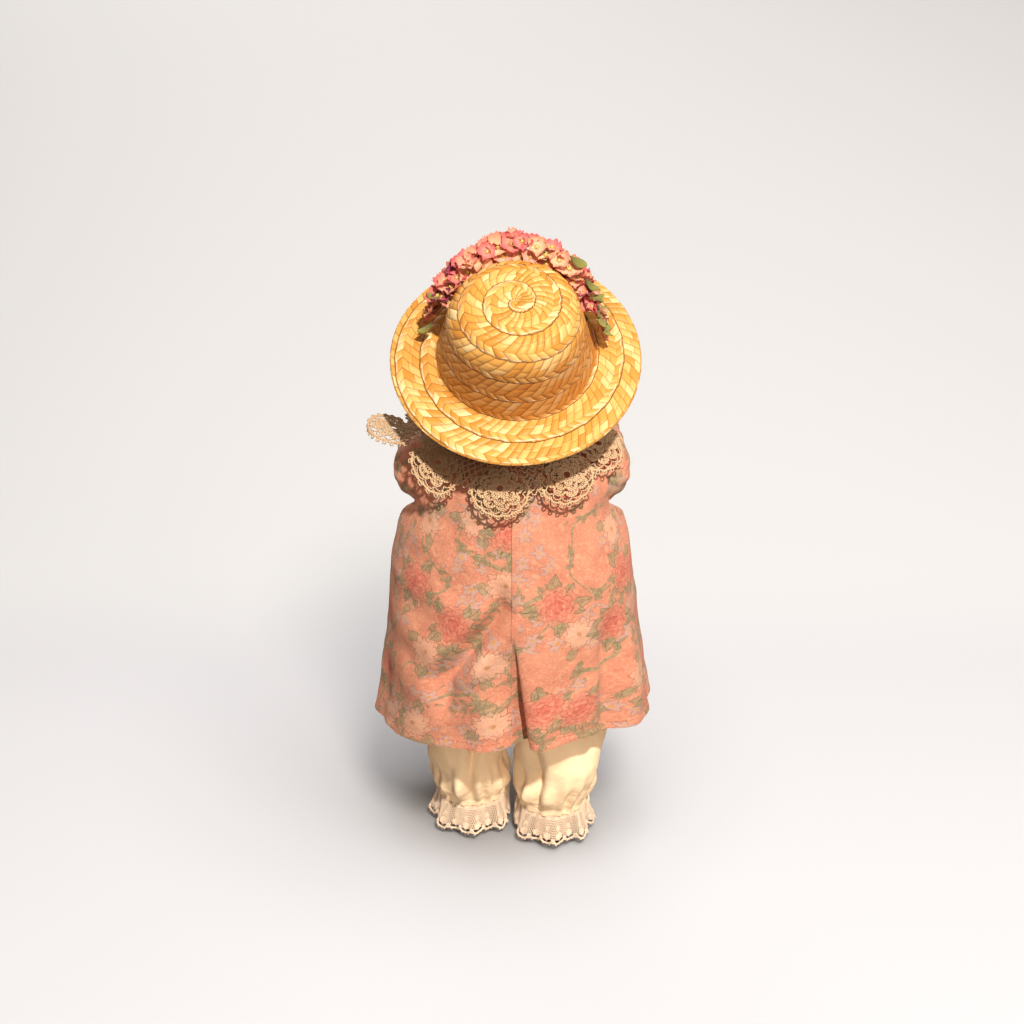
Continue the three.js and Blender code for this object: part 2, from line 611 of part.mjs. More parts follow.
function dressForm(inset, endLift) {
  const rings = DRESS_RINGS.map(([w, d, z], i) => {
    const ends = i === DRESS_RINGS.length - 1 ? -endLift : i === 0 ? endLift : 0;
    const drop = smooth(DRESS_HEM_Z + 71 - z, 0, 73);
    const lower = i < 4 ? inset : 0;
    return ellipseRing(30, w - inset, d - inset, z + ends - lower, {
      shape: (x, y) => {
        const [fx, fy] = dressFold(x, y, z, w, d);
        return [fx, fy, neckDip(y / d, i) + (HEM_BACK_RISE * (y / d) - HEM_SLOPE * x) * drop];
      },
    });
  });
  return solid(loft(rings));
}

function dress() {
  const cuts = [];
  for (const side of [-1, 1]) {
    const r = SLEEVE_R + GAP + 0.7;
    cuts.push(solid(egg([side * SHOULDER.x, 0, SHOULDER.z], [r, r, r], 16, 10)));
    for (const turn of [0, ARM_SWEEP_DEG / 2, ARM_SWEEP_DEG]) {
      const a = deg(16 + turn);
      const to = [side * 65, -ARMHOLE * Math.cos(a), SHOULDER.z - ARMHOLE * Math.sin(a)];
      cuts.push(solid(bar([side * SHOULDER.x, 0, SHOULDER.z], to, SLEEVE_R, SLEEVE_R, 14)));
    }
  }
  return toGeometry(cut(dressForm(0, 0), [dressForm(CLOTH, 6), ...cuts]));
}

// Collar: crochet scallops lying on the shoulders, the one on the doll's left shoulder flaring up
function collarPoint(t, reach, off) {
  const c = Math.cos(t);
  const s = Math.sin(t);
  const levels = DRESS_RINGS.slice(0, 6);
  const u = reach * (levels.length - 1);
  const i = Math.min(Math.floor(u), levels.length - 2);
  const f = u - i;
  const [w, d, z] = [0, 1, 2].map((k) => lerp(levels[i][k], levels[i + 1][k], f));
  const up = Math.max(0, 1 - reach * 0.9);
  const overSleeve = Math.abs(c) ** 3 * smooth(reach, 0.1, 0.45);
  const left = smooth(c, 0.72, 1) * smooth(reach, 0.4, 0.75);
  const r = off * (1 - up) + FLARE.out * left;
  const lift = 9.5 * overSleeve + FLARE.up * left + neckDip(s, u);
  return [(w + r + 4 * overSleeve) * c, (d + r) * s, z + off * up + 1.2 + lift];
}

function collar() {
  const n = SCALLOPS * 5;
  const inner = 0.06;
  const rows = 3;
  const edge = (t) => {
    const lobe = Math.abs(Math.cos((SCALLOPS / 2) * (t - deg(SCALLOP_AT))));
    const s = Math.sin(t);
    const front = smooth(-s, 0.15, 0.45) * (1 - smooth(-s, 0.8, 0.95));
    const sideways = Math.abs(Math.cos(t)) ** 2;
    const left = smooth(Math.cos(t), 0.6, 1);
    return lerp(0.66, 0.97, 1 - sideways) * (0.86 + 0.14 * lobe) - 0.3 * front + 0.1 * left;
  };
  const ring = (k, off) => {
    const points = [];
    for (let j = 0; j < n; j++) {
      const t = (2 * Math.PI * j) / n;
      points.push(collarPoint(t, lerp(inner, edge(t), k / rows), off));
    }
    return points;
  };
  const rings = [];
  for (let k = 0; k <= rows; k++) rings.push(ring(k, COLLAR_OFF));
  for (let k = rows; k >= 0; k--) rings.push(ring(k, COLLAR_OFF + COLLAR_T));
  return loft(rings, { looped: true });
}

// Bloomers: a waist piece round the hips and two full legs gathered at the ankle
function band(rings, thick, n = 24) {
  const outer = rings.map(([w, d, z, cx = 0, cy = 0]) => ellipseRing(n, w, d, z, { cx, cy }));
  const inner = rings.map(([w, d, z, cx = 0, cy = 0]) => ellipseRing(n, w - thick, d - thick, z, { cx, cy }));
  return loft([...outer, ...inner.reverse()], { looped: true });
}

const lean = (side, z) => -side * LEG_LEAN * (1 - z / HIP.z);

const HEM_R = ANKLE_R + ELASTIC_T + CLOTH + 1.2;

function legPath(side) {
  const full = side < 0 ? 1 : 0;
  return [
    [29.4, 32, HIP.z - 17, 31.4], [30 + 3 * full, 34, HIP.z - 53, 31.5 + 3 * full],
    [28.6 + 6.2 * full, 32.5, GATHER_Z + 54, 33 + 3 * full],
    [28.4 + 3 * full, 31.5, GATHER_Z + 32, 33 + full],
    [28.8, 31, GATHER_Z + 18, 32], [27.6, 28, GATHER_Z + 12, 31.4],
    [HEM_R, HEM_R, GATHER_Z + 6, 31.2], [HEM_R, HEM_R, GATHER_Z, 31.2],
  ];
}

function bloomersLeg(side) {
  const n = 20;
  const fold = (z) => (x, y, t) => {
    const up = z - GATHER_Z;
    const gathers = 0.045 * smooth(47 - up, 0, 35) * smooth(up, 6, 16) * Math.cos(7 * t);
    const sag = 0.03 * smooth(HIP.z - 18 - z, 0, 50) * smooth(up, 12, 32) * Math.sin(3 * t + z * 0.05);
    const r = 1 + gathers + sag;
    return [x * r, y * r];
  };
  const ring = (row, inset) => {
    const [w, d, z, cx] = row;
    const options = { cx: side * cx, cy: lean(side, z), shape: fold(z) };
    const points = ellipseRing(n, w - inset, d - inset, z, options);
    return points.map(([x, y, h]) => [side * Math.max(side * x, 0.8 + inset), y, h]);
  };
  const rows = legPath(side);
  const outer = rows.map((row) => ring(row, 0));
  const inner = rows.map((row) => ring(row, CLOTH));
  return loft([...outer, ...inner.reverse()], { looped: true });
}

function legSolid(side) {
  const at = (z) => [side * HIP.x, lean(side, z), z];
  const thigh = solid(egg([side * HIP.x, 0, HIP.z], Array(3).fill(HIP_BALL_R), 14, 8));
  const calf = GATHER_Z + 32;
  const stations = [
    [at(HIP.z - 16), 22.5], [at(HIP.z - 58), 23], [at(calf), 23.4],
    [at(GATHER_Z + 8), ANKLE_R], [at(GATHER_Z - 1), 13],
  ];
  const chain = limb(stations, 10);
  const foot = solid(footForm(side, 0, 5.2, 24));
  const heel = solid(bar(at(8), at(30), 11.5, 14, 12));
  const bore = solid(bar([0, 0, HIP.z], [side * 27, 0, HIP.z], 5, 5, 12));
  return toGeometry(cut(join([thigh, chain, foot, heel]), [bore]));
}

// A foot or shoe body: a rounded long form, highest at the instep
function footForm(side, grow, bottom, top) {
  const n = 18;
  const middle = (FOOT_HEEL - FOOT_TOE) / 2;
  const halfL = (FOOT_HEEL + FOOT_TOE) / 2 + grow;
  const y0 = lean(side, 0) + middle;
  const shape = (height) => (x, y) => {
    const forward = THREE.MathUtils.clamp(-y / halfL, 0, 1);
    const pinch = 1 - 0.12 * smooth(y / halfL, -0.2, 0.9);
    return [x * pinch, y, -height * 0.42 * smooth(forward, 0, 1)];
  };
  const rows = [[0.93, 0, 0], [1, 0.16, 0.2], [0.99, 0.55, 0.6], [0.86, 0.86, 0.9], [0.6, 1, 1]];
  const rings = rows.map(([scale, k, drop]) => ellipseRing(n, (FOOT_HALF_W + grow) * scale, halfL * scale,
    lerp(bottom, top, k), { cx: side * 30, cy: y0, shape: shape((top - bottom) * drop) }));
  return loft(rings);
}

function shoe(side) {
  const outer = solid(footForm(side, 2.2, SOLE_T + GAP, 26.6));
  const inner = solid(footForm(side, GAP + 0.1, 4.9, 24.5));
  const cuffY = lean(side, 20);
  const mouth = solid(bar([side * 31, cuffY, 17], [side * 31, cuffY, 40], 20.5, 20.5, 18));
  const vamp = solid(egg([side * 30.4, cuffY - 12, 26], [13.5, 20, 9], 14, 8));
  return toGeometry(cut(outer, [inner, mouth, vamp]));
}

function shoeSole(side) {
  const y0 = lean(side, 0) + (FOOT_HEEL - FOOT_TOE) / 2;
  const halfL = (FOOT_HEEL + FOOT_TOE) / 2 + 2.6;
  const taper = (x, y) => [x * (1 - 0.12 * smooth(y / halfL, -0.2, 0.9)), y];
  const halfW = FOOT_HALF_W + 2.6;
  const options = { cx: side * 30, cy: y0, shape: taper };
  const ring = (grow, z) => ellipseRing(24, halfW + grow, halfL + grow, z, options);
  return loft([ring(-0.8, 0), ring(0, 0.8), ring(0, SOLE_T)]);
}

function ankleRuffle(side) {
  const z = GATHER_Z - GAP;
  const form = (a, t) => {
    const front = smooth(-Math.sin(a), 0.1, 0.9);
    return [1 + 0.18 * front * t, front * t * (RUFFLE_H - 2)];
  };
  const geometry = frill({
    centre: new THREE.Vector3(side * 31.2, lean(side, z), z), axis: new THREE.Vector3(0, 0, 1),
    inner: 20, r0: HEM_R - CLOTH, r1: HEM_R + 5, height: RUFFLE_H, waves: 9, depth: 1.8, sides: 36, form,
  });
  const p = geometry.attributes.position;
  for (let i = 0; i < p.count; i++) {
    const x = side * p.getX(i);
    if (x < 2.4) p.setX(i, side * (0.8 + (x + 6) * 0.19));
  }
  return geometry;
}

function ankleElastic(side) {
  const z = GATHER_Z + 2;
  const y = lean(side, z);
  const r = ANKLE_R + ELASTIC_T + 0.6;
  return band([[r, r, z, side * 31.2, y], [r, r, z + 4, side * 31.2, y]], ELASTIC_T, 20);
}

function buildBody() {
  place("trunk_shell", trunkShell(), "skin", { roughness: 0.5 });
  place("head_shell", headShell(), "skin", { roughness: 0.45 });
  place("wig", wig(), "hair");
  for (const side of [1, -1]) {
    const word = side > 0 ? "left" : "right";
    place(`curl_front_${word}`, curl(side, -7, CURL_TOP_Z - 4), "hair");
    place(`curl_back_${word}`, curl(side, 12, CURL_TOP_Z - 12), "hair");
  }
  stringing();
}

function buildLimbs() {
  for (const side of [1, -1]) {
    const word = side > 0 ? "left" : "right";
    place(`arm_${word}`, armSolid(side), "skin", { roughness: 0.45 });
    limbHook(`arm_hook_${word}`, side, SHOULDER.x - 11 + GAP, SHOULDER.x - 2.4, SHOULDER.z);
    place(`sleeve_${word}`, sleeve(side), "print");
    place(`cuff_lace_${word}`, cuffLace(side), "lace");
    place(`leg_${word}`, legSolid(side), "skin", { roughness: 0.45 });
    limbHook(`leg_hook_${word}`, side, HIP.x - 14 + GAP, HIP.x - 4.4, HIP.z);
    place(`bloomers_leg_${word}`, bloomersLeg(side), "cream");
    place(`ankle_elastic_${word}`, ankleElastic(side), "elastic");
    place(`ankle_lace_${word}`, ankleRuffle(side), "lace");
    place(`shoe_${word}`, shoe(side), "shoe", { roughness: 0.4 });
    place(`shoe_sole_${word}`, shoeSole(side), "shoe", { roughness: 0.7 });
  }
}

function buildClothes() {
  place("dress", dress(), "print");
  place("collar", collar(), "ecru", { roughness: 0.95 });
  const waistZ = HIP.z + 38;
  const waist = [[48.9, 37.4, waistZ], [48, 36.7, waistZ + 5]];
  place("waist_elastic", band(waist, 1.2, 20), "elastic");
  const seat = [
    [49.8, 38.5, waistZ + 7], [51.4, 40, waistZ - 1], [57, 46, waistZ - 12],
    [60.5, 49, waistZ - 23],
  ];
  place("bloomers_waist", band(seat, CLOTH, 20), "cream");
  const button = new THREE.CylinderGeometry(4.2, 4.2, 2, 16).rotateX(Math.PI / 2);
  place("collar_button", button, "pearl", { roughness: 0.3 }).position.set(0, 30.5, NECK_Z + 16.4);
}

buildBody();
buildLimbs();
buildClothes();
buildHat();

doll.position.set(NECK_AXIS.x, NECK_AXIS.y, 0);

export default doll;
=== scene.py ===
# %% [markdown]
# A jointed dress-up doll, seen from behind, in a flowered straw hat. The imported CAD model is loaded
# first and never moves: it gives every body and joint its place. The cells below dress it: first the
# camera and light, then each material, then the hat, the clothes, the lace, the hair, the head and hands.

# %% The fixed frame
import json
import math
import random

import bpy
import numpy as np
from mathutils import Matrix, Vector, noise
from mathutils.bvhtree import BVHTree

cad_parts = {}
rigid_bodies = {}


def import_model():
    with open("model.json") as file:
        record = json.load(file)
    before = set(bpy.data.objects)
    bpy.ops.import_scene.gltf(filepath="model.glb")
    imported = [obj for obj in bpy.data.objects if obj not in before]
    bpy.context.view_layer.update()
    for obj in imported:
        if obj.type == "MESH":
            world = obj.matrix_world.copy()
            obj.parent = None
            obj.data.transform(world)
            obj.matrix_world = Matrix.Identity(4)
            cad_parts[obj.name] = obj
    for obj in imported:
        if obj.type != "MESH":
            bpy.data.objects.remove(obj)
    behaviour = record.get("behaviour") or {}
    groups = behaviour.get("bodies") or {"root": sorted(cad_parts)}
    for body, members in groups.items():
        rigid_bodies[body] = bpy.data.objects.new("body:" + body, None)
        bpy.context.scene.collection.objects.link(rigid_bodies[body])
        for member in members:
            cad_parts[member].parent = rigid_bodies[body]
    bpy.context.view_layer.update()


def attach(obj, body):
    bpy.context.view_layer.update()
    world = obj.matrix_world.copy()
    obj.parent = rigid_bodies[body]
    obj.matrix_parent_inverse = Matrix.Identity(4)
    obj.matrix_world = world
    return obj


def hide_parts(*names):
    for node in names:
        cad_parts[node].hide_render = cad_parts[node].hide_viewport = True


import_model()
MM = 0.001
TAU = 2 * math.pi
SIDES = {1: "left", -1: "right"}  # the doll's left is towards +X
NECK_AXIS = np.array([0.9, 6.37, 0.0])  # mm from the origin to the doll's own middle line


# %% [markdown]
# The doll was photographed from behind and above. The angle and distance below were worked out from the
# hat's brim, which is a known circle, and from the hem. The camera is aimed a little over the doll's
# middle, because the photograph leaves more room above her than below.

# %% Camera
def place_of(x, y, z):
    """A point given in mm from the doll's middle line, as Blender wants it."""
    return Vector(((x + NECK_AXIS[0]) * MM, (y + NECK_AXIS[1]) * MM, z * MM))


VIEW_UP_DEG = 28.0
AIM_UP_DEG = 1.77
AIM_Z = 228
DISTANCE_MM = 1250
SENSOR_MM = 36
FOCAL_PX, PICTURE_PX = 1712, 1024
camera_data = bpy.data.cameras.new("photo_camera")
camera_data.sensor_width = SENSOR_MM
camera_data.lens = SENSOR_MM * FOCAL_PX / PICTURE_PX
camera = bpy.data.objects.new("photo_camera", camera_data)
bpy.context.scene.collection.objects.link(camera)
up = math.radians(VIEW_UP_DEG)
camera.location = place_of(0, DISTANCE_MM * math.cos(up), AIM_Z + DISTANCE_MM * math.sin(up))
aim = math.radians(VIEW_UP_DEG - AIM_UP_DEG)
camera.rotation_mode = "QUATERNION"
camera.rotation_quaternion = Vector((0, -math.cos(aim), -math.sin(aim))).to_track_quat("-Z", "Y")
bpy.context.scene.camera = camera
print("camera at", tuple(round(x, 3) for x in camera.location))


# %% [markdown]
# A material is a small tree of nodes. One function adds a node, sets it up and links it, and one turns
# an sRGB hex colour, as a paint chart gives it, into the linear colour that Blender works in.

# %% Helpers for materials
def colour(code):
    parts = [int(code[i:i + 2], 16) / 255 for i in (1, 3, 5)]
    return tuple(c / 12.92 if c <= 0.04045 else ((c + 0.055) / 1.055) ** 2.4 for c in parts) + (1.0,)


def add(tree, kind, inputs=None, **settings):
    """Adds one shader node. inputs maps a socket's name or number to a value or another node's output."""
    node = tree.nodes.new("ShaderNode" + kind)
    for name, value in settings.items():
        setattr(node, name, value)
    for key, value in (inputs or {}).items():
        socket = node.inputs[key]
        if isinstance(value, bpy.types.NodeSocket):
            tree.links.new(value, socket)
        else:
            socket.default_value = value
    return node


def new_material(name, **shader_values):
    material = bpy.data.materials.new(name)
    material.use_nodes = True
    shader = material.node_tree.nodes["Principled BSDF"]
    for key, value in shader_values.items():
        shader.inputs[key.replace("_", " ")].default_value = value
    return material, material.node_tree, shader


def calc(tree, operation, a, b=0.0, c=0.0):
    """One step of arithmetic in a material."""
    return add(tree, "Math", {0: a, 1: b, 2: c}, operation=operation).outputs[0]


def over(tree, factor, under, upper):
    """The upper colour laid over the one below, as far as the factor says."""
    mix = add(tree, "Mix", {0: factor, 6: under, 7: upper}, data_type="RGBA")
    return mix.outputs[2]


def step_down(tree, value, edge, soft):
    """1 where value is below the edge, 0 above it, with a soft border."""
    node = add(tree, "MapRange", {0: value, 1: edge - soft, 2: edge + soft, 3: 1.0, 4: 0.0},
               interpolation_type="SMOOTHSTEP")
    return node.outputs[0]


def relief(tree, shader, height, distance_mm, strength):
    bump = add(tree, "Bump", {"Height": height, "Distance": distance_mm * MM, "Strength": strength})
    tree.links.new(bump.outputs["Normal"], shader.inputs["Normal"])


# %% [markdown]
# Printed cotton. The real dress is plain-woven cotton with a print of pink peonies, pale daisies, small
# lilac flowers and sage leaves on a mottled salmon ground. A Voronoi texture scatters centres over the
# cloth, and each motif is drawn round its centre from distance and angle, with a fine dark outline, so
# that no two blooms are alike. The cloth's own UV map is in millimetres, so sizes below are real ones.

# %% Floral print
INK_SOFT, INK_STRENGTH = 0.2, 0.85  # mm of blur at a printed edge, and how dense the outlines are


def flower_cells(tree, position, cell_mm, turn, shift, scatter=0.72):
    """Distance from the nearest flower's centre in mm, angle round it, and random tints for the flower."""
    mapping = add(tree, "Mapping", {"Vector": position, "Location": (shift, shift * 0.7, 0),
                                              "Rotation": (0, 0, turn)})
    cells = add(tree, "TexVoronoi", {"Vector": mapping.outputs[0], "Scale": 1 / cell_mm,
                                               "Randomness": scatter}, voronoi_dimensions="2D")
    local = add(tree, "VectorMath", {0: mapping.outputs[0], 1: cells.outputs["Position"]},
                operation="SUBTRACT")
    parts = add(tree, "SeparateXYZ", {0: local.outputs[0]})
    angle = calc(tree, "ARCTAN2", parts.outputs["Y"], parts.outputs["X"])
    tint = add(tree, "SeparateColor", {0: cells.outputs["Color"]})
    turned = calc(tree, "MULTIPLY_ADD", tint.outputs["Red"], 6.283, angle)
    radius = add(tree, "VectorMath", {0: local.outputs[0]}, operation="LENGTH").outputs["Value"]
    return {"radius": radius, "angle": turned, "green": tint.outputs["Green"], "blue": tint.outputs["Blue"]}


def spokes(tree, flower, count, start, end, width, turn=0.0):
    """How far outside the nearest of some petals a point lies, in mm, and how far off its middle line."""
    half_turn = math.pi / count
    off_axis = calc(tree, "PINGPONG", calc(tree, "ADD", flower["angle"], turn), half_turn)
    across = calc(tree, "MULTIPLY", off_axis, flower["radius"])
    along = add(tree, "MapRange", {0: flower["radius"], 1: start, 2: end, 3: 0.0, 4: 1.0}).outputs[0]
    bulge = calc(tree, "SINE", calc(tree, "MULTIPLY", calc(tree, "POWER", along, 0.8), math.pi))
    return calc(tree, "MULTIPLY_ADD", bulge, -width, across), across


def scallops(tree, flower, count, reach, ragged, turn):
    """How far outside a ring of rounded petals a point lies, in mm."""
    wave = calc(tree, "ABSOLUTE", calc(tree, "COSINE", calc(
        tree, "MULTIPLY_ADD", flower["angle"], count / 2, turn)))
    edge = calc(tree, "MULTIPLY_ADD", calc(tree, "POWER", wave, 0.7), ragged * reach, (1 - ragged) * reach)
    return calc(tree, "SUBTRACT", flower["radius"], edge)


def ink(tree, under, outside, fill, line, show, line_mm=0.5, cover=0.72):
    """Draws a form where show is 1: a fine outline in one colour and the form's fill inside it."""
    edge = calc(tree, "MULTIPLY", step_down(tree, outside, 0.0, INK_SOFT), INK_STRENGTH)
    body = step_down(tree, outside, -line_mm, INK_SOFT)
    edge, body = calc(tree, "MULTIPLY", edge, show), calc(tree, "MULTIPLY", body, show)
    inside = over(tree, cover, under, fill)
    return over(tree, body, over(tree, edge, under, colour(line)), inside)


def ground_cloth(tree, uv):
    """The salmon ground, mottled with paler and deeper patches and pale crackled veins."""
    broad = add(tree, "TexNoise", {"Vector": uv, "Scale": 0.045, "Detail": 3.0}).outputs["Fac"]
    fine = add(tree, "TexNoise", {"Vector": uv, "Scale": 0.19, "Detail": 4.0, "Roughness": 0.62})
    fine = fine.outputs["Fac"]
    tone = over(tree, step_down(tree, broad, 0.5, 0.14), colour("#E39A85"), colour("#D98A78"))
    tone = over(tree, calc(tree, "MULTIPLY", step_down(tree, fine, 0.43, 0.07), 0.75), tone, colour("#F0B89C"))
    veins = calc(tree, "ABSOLUTE", calc(tree, "SUBTRACT", fine, 0.56))
    tone = over(tree, calc(tree, "MULTIPLY", step_down(tree, veins, 0.018, 0.014), 0.5), tone, colour("#F9CDB2"))
    return tone


def floral_cotton():
    material, tree, shader = new_material("printed_plain_weave_cotton", Roughness=0.88)
    shader.inputs["Sheen Weight"].default_value = 0.12
    shader.inputs["Specular IOR Level"].default_value = 0.22
    uv = add(tree, "UVMap", uv_map="UVMap").outputs[0]
    wander = add(tree, "TexNoise", {"Vector": uv, "Scale": 0.11, "Detail": 2.0})
    centred = add(tree, "VectorMath", {0: wander.outputs["Color"], 1: (0.5, 0.5, 0.5)},
                  operation="SUBTRACT")
    bent = add(tree, "VectorMath", {0: centred.outputs[0], 1: (7, 7, 7), 2: uv},
               operation="MULTIPLY_ADD").outputs[0]
    cloth = ground_cloth(tree, uv)
    leaf_tones = add(tree, "TexNoise", {"Vector": uv, "Scale": 0.3, "Detail": 2.0}).outputs["Fac"]
    sage = over(tree, step_down(tree, leaf_tones, 0.5, 0.12), colour("#A3A687"), colour("#7F8A6E"))
    # Curving stems, with small leaves and buds beside them
    path = add(tree, "TexNoise", {"Vector": uv, "Scale": 0.0165, "Detail": 1.0}).outputs["Fac"]
    off_path = calc(tree, "ABSOLUTE", calc(tree, "SUBTRACT", path, 0.5))
    near = step_down(tree, off_path, 0.05, 0.008)
    cloth = over(tree, calc(tree, "MULTIPLY", step_down(tree, off_path, 0.0085, 0.0025), 0.85), cloth, sage)
    for cell, turn, shift, show_below in ((13, 0.4, 31, 0.6), (16, 1.7, 77, 0.45)):
        sprig = flower_cells(tree, bent, cell, turn, shift, 0.85)
        shown = calc(tree, "MULTIPLY", near, step_down(tree, sprig["green"], show_below, 0.01))
        outside, across = spokes(tree, sprig, 3, 0.2, cell * 0.52, 2.2)
        cloth = ink(tree, cloth, outside, sage, "#6A6E58", shown, 0.4)
        vein = calc(tree, "MULTIPLY", step_down(tree, across, 0.2, 0.12), shown)
        vein = calc(tree, "MULTIPLY", vein, step_down(tree, outside, -0.5, 0.2))
        cloth = over(tree, vein, cloth, colour("#6A6E58"))
    # Lilac flowers in loose bunches
    bunch = add(tree, "TexNoise", {"Vector": uv, "Scale": 0.026, "Detail": 1.0, "Distortion": 0.4})
    in_bunch = step_down(tree, bunch.outputs["Fac"], 0.47, 0.01)
    small = flower_cells(tree, bent, 13.5, 0.9, 13)
    outside = spokes(tree, small, 5, 0.4, 6.4, 2.1)[0]
    cloth = ink(tree, cloth, outside, colour("#CDB4B4"), "#8A767C", in_bunch, 0.4)
    heart = calc(tree, "MULTIPLY", in_bunch, step_down(tree, small["radius"], 1.3, 0.25))
    cloth = over(tree, heart, cloth, colour("#D9A96B"))
    # Pale daisies
    daisy = flower_cells(tree, bent, 54, 0.2, 140)
    shown = step_down(tree, daisy["green"], 0.56, 0.01)
    cloth = ink(tree, cloth, spokes(tree, daisy, 3, 10, 22, 4.2, 0.5)[0], sage, "#6A6E58", shown)
    for count, reach, turn in ((8, 14.5, 0.0), (8, 12.5, 0.39)):
        outside, across = spokes(tree, daisy, count, 0.5, reach, 4.3, turn)
        inner = step_down(tree, daisy["radius"], 9.0, 2.0)
        streak = calc(tree, "MULTIPLY", step_down(tree, across, 0.5, 0.5), inner)
        fill = over(tree, calc(tree, "MULTIPLY", streak, 0.5), colour("#F5D0BA"), colour("#E29A85"))
        cloth = ink(tree, cloth, outside, fill, "#8E5046", shown, 0.5, cover=0.4)
    heart = calc(tree, "MULTIPLY", shown, step_down(tree, daisy["radius"], 1.7, 0.5))
    cloth = over(tree, heart, cloth, colour("#C4936A"))
    # Peonies: leaves that stick out below, then rings of petals that deepen towards the middle
    peony = flower_cells(tree, bent, 50, 1.1, 55)
    shown = step_down(tree, peony["blue"], 0.64, 0.01)
    for count, start, end, width, turn in ((4, 9, 25, 4.6, 0.2), (5, 9, 21, 3.8, 1.1)):
        leaf_out, leaf_across = spokes(tree, peony, count, start, end, width, turn)
        cloth = ink(tree, cloth, leaf_out, sage, "#59604A", shown, 0.45)
        vein = calc(tree, "MULTIPLY", step_down(tree, leaf_across, 0.22, 0.14),
                    step_down(tree, leaf_out, -0.8, 0.2))
        cloth = over(tree, calc(tree, "MULTIPLY", vein, shown), cloth, colour("#59604A"))
    petal_shade = add(tree, "TexNoise", {"Vector": uv, "Scale": 0.35, "Detail": 3.0}).outputs["Fac"]
    rings = ((8, 15.5, 0.24, "#F0A592", "#E27F73"), (7, 12.0, 0.26, "#E98D7E", "#D96A64"),
             (6, 8.4, 0.28, "#F0A190", "#DB6F68"), (5, 5.0, 0.3, "#DD736B", "#C4524F"))
    for count, reach, ragged, pale, deep in rings:
        fill = over(tree, step_down(tree, petal_shade, 0.5, 0.1), colour(deep), colour(pale))
        outside = scallops(tree, peony, count, reach, ragged, reach)
        cloth = ink(tree, cloth, outside, fill, "#9A4A44", shown, 0.42, cover=0.6)
    # Sun-faded, slightly uneven printing
    fade = add(tree, "TexNoise", {"Vector": uv, "Scale": 0.6, "Detail": 3.0}).outputs["Fac"]
    cloth = over(tree, calc(tree, "MULTIPLY", fade, 0.34), cloth, colour("#EDAE94"))
    parts = add(tree, "SeparateXYZ", {0: uv})
    # The seam, where the cloth's two edges meet
    seam = step_down(tree, calc(tree, "ABSOLUTE", parts.outputs["X"]), 0.7, 0.25)
    above_fold = calc(tree, "MULTIPLY", calc(tree, "GREATER_THAN", parts.outputs["Y"], 92.0), 0.5)
    cloth = over(tree, calc(tree, "MULTIPLY", seam, above_fold), cloth, colour("#8F5344"))
    tree.links.new(cloth, shader.inputs["Base Color"])
    # The weave, drawn at 0.9 mm because the real 0.25 mm is too fine to show
    weave = [calc(tree, "SINE", calc(tree, "MULTIPLY", parts.outputs[axis], 7.0)) for axis in (0, 1)]
    grain = add(tree, "TexNoise", {"Vector": uv, "Scale": 0.13, "Detail": 5.0, "Roughness": 0.6})
    height = calc(tree, "MULTIPLY_ADD", calc(tree, "ADD", weave[0], weave[1]), 0.035, grain.outputs["Fac"])
    relief(tree, shader, height, 1.6, 0.6)
    return material


FLORAL = floral_cotton()
print("floral cotton:", len(FLORAL.node_tree.nodes), "nodes")


# %% [markdown]
# Plain cloths and threads. Bleached cotton, crochet cotton and bobbin lace differ in colour and in the
# twist that shows: a crochet thread is over a millimetre thick and its ply can be seen.

# %% Cotton, crochet thread, lace thread and cloth petals
def plain_cotton(name, light, dark, crinkle_scale, crinkle_mm):
    material, tree, shader = new_material(name, Roughness=0.9)
    shader.inputs["Sheen Weight"].default_value = 0.2
    shader.inputs["Specular IOR Level"].default_value = 0.2
    uv = add(tree, "UVMap", uv_map="UVMap").outputs[0]
    cloud = add(tree, "TexNoise", {"Vector": uv, "Scale": 0.06, "Detail": 4.0})
    tone = over(tree, cloud.outputs["Fac"], colour(dark), colour(light))
    tree.links.new(tone, shader.inputs["Base Color"])
    crinkle = add(tree, "TexNoise", {"Vector": uv, "Scale": crinkle_scale, "Detail": 5.0, "Distortion": 0.6})
    relief(tree, shader, crinkle.outputs["Fac"], crinkle_mm, 0.6)
    return material


def thread(name, light, dark, twist_per_mm, ply_mm):
    """Twisted cotton: the UV runs along the thread in mm and once round it."""
    material, tree, shader = new_material(name, Roughness=0.85)
    shader.inputs["Sheen Weight"].default_value = 0.25
    shader.inputs["Specular IOR Level"].default_value = 0.2
    uv = add(tree, "UVMap", uv_map="UVMap").outputs[0]
    parts = add(tree, "SeparateXYZ", {0: uv})
    ply = calc(tree, "MULTIPLY_ADD", parts.outputs["X"], twist_per_mm * 6.283,
               calc(tree, "MULTIPLY", parts.outputs["Y"], 12.566))
    wave = calc(tree, "SINE", ply)
    place = add(tree, "TexCoord").outputs["Object"]
    stain = add(tree, "TexNoise", {"Vector": place, "Scale": 90.0, "Detail": 3.0})
    mix = calc(tree, "MULTIPLY_ADD", wave, 0.18, stain.outputs["Fac"])
    tree.links.new(over(tree, mix, colour(dark), colour(light)), shader.inputs["Base Color"])
    relief(tree, shader, wave, ply_mm, 0.7)
    return material


CREAM = plain_cotton("washed_cream_cotton", "#FCEBD3", "#F3D9B8", 0.11, 2.2)
CROCHET = thread("ecru_crochet_cotton", "#F5DFC0", "#D8B088", 0.55, 0.35)
LACE = thread("bobbin_lace_cotton", "#FFF1E4", "#EBD2BE", 0.9, 0.15)


HAT = np.array([-2.5, 12.0, 394.5])  # middle of the crown's opening, mm from the doll's middle line
HAT_TILT = math.radians(34)


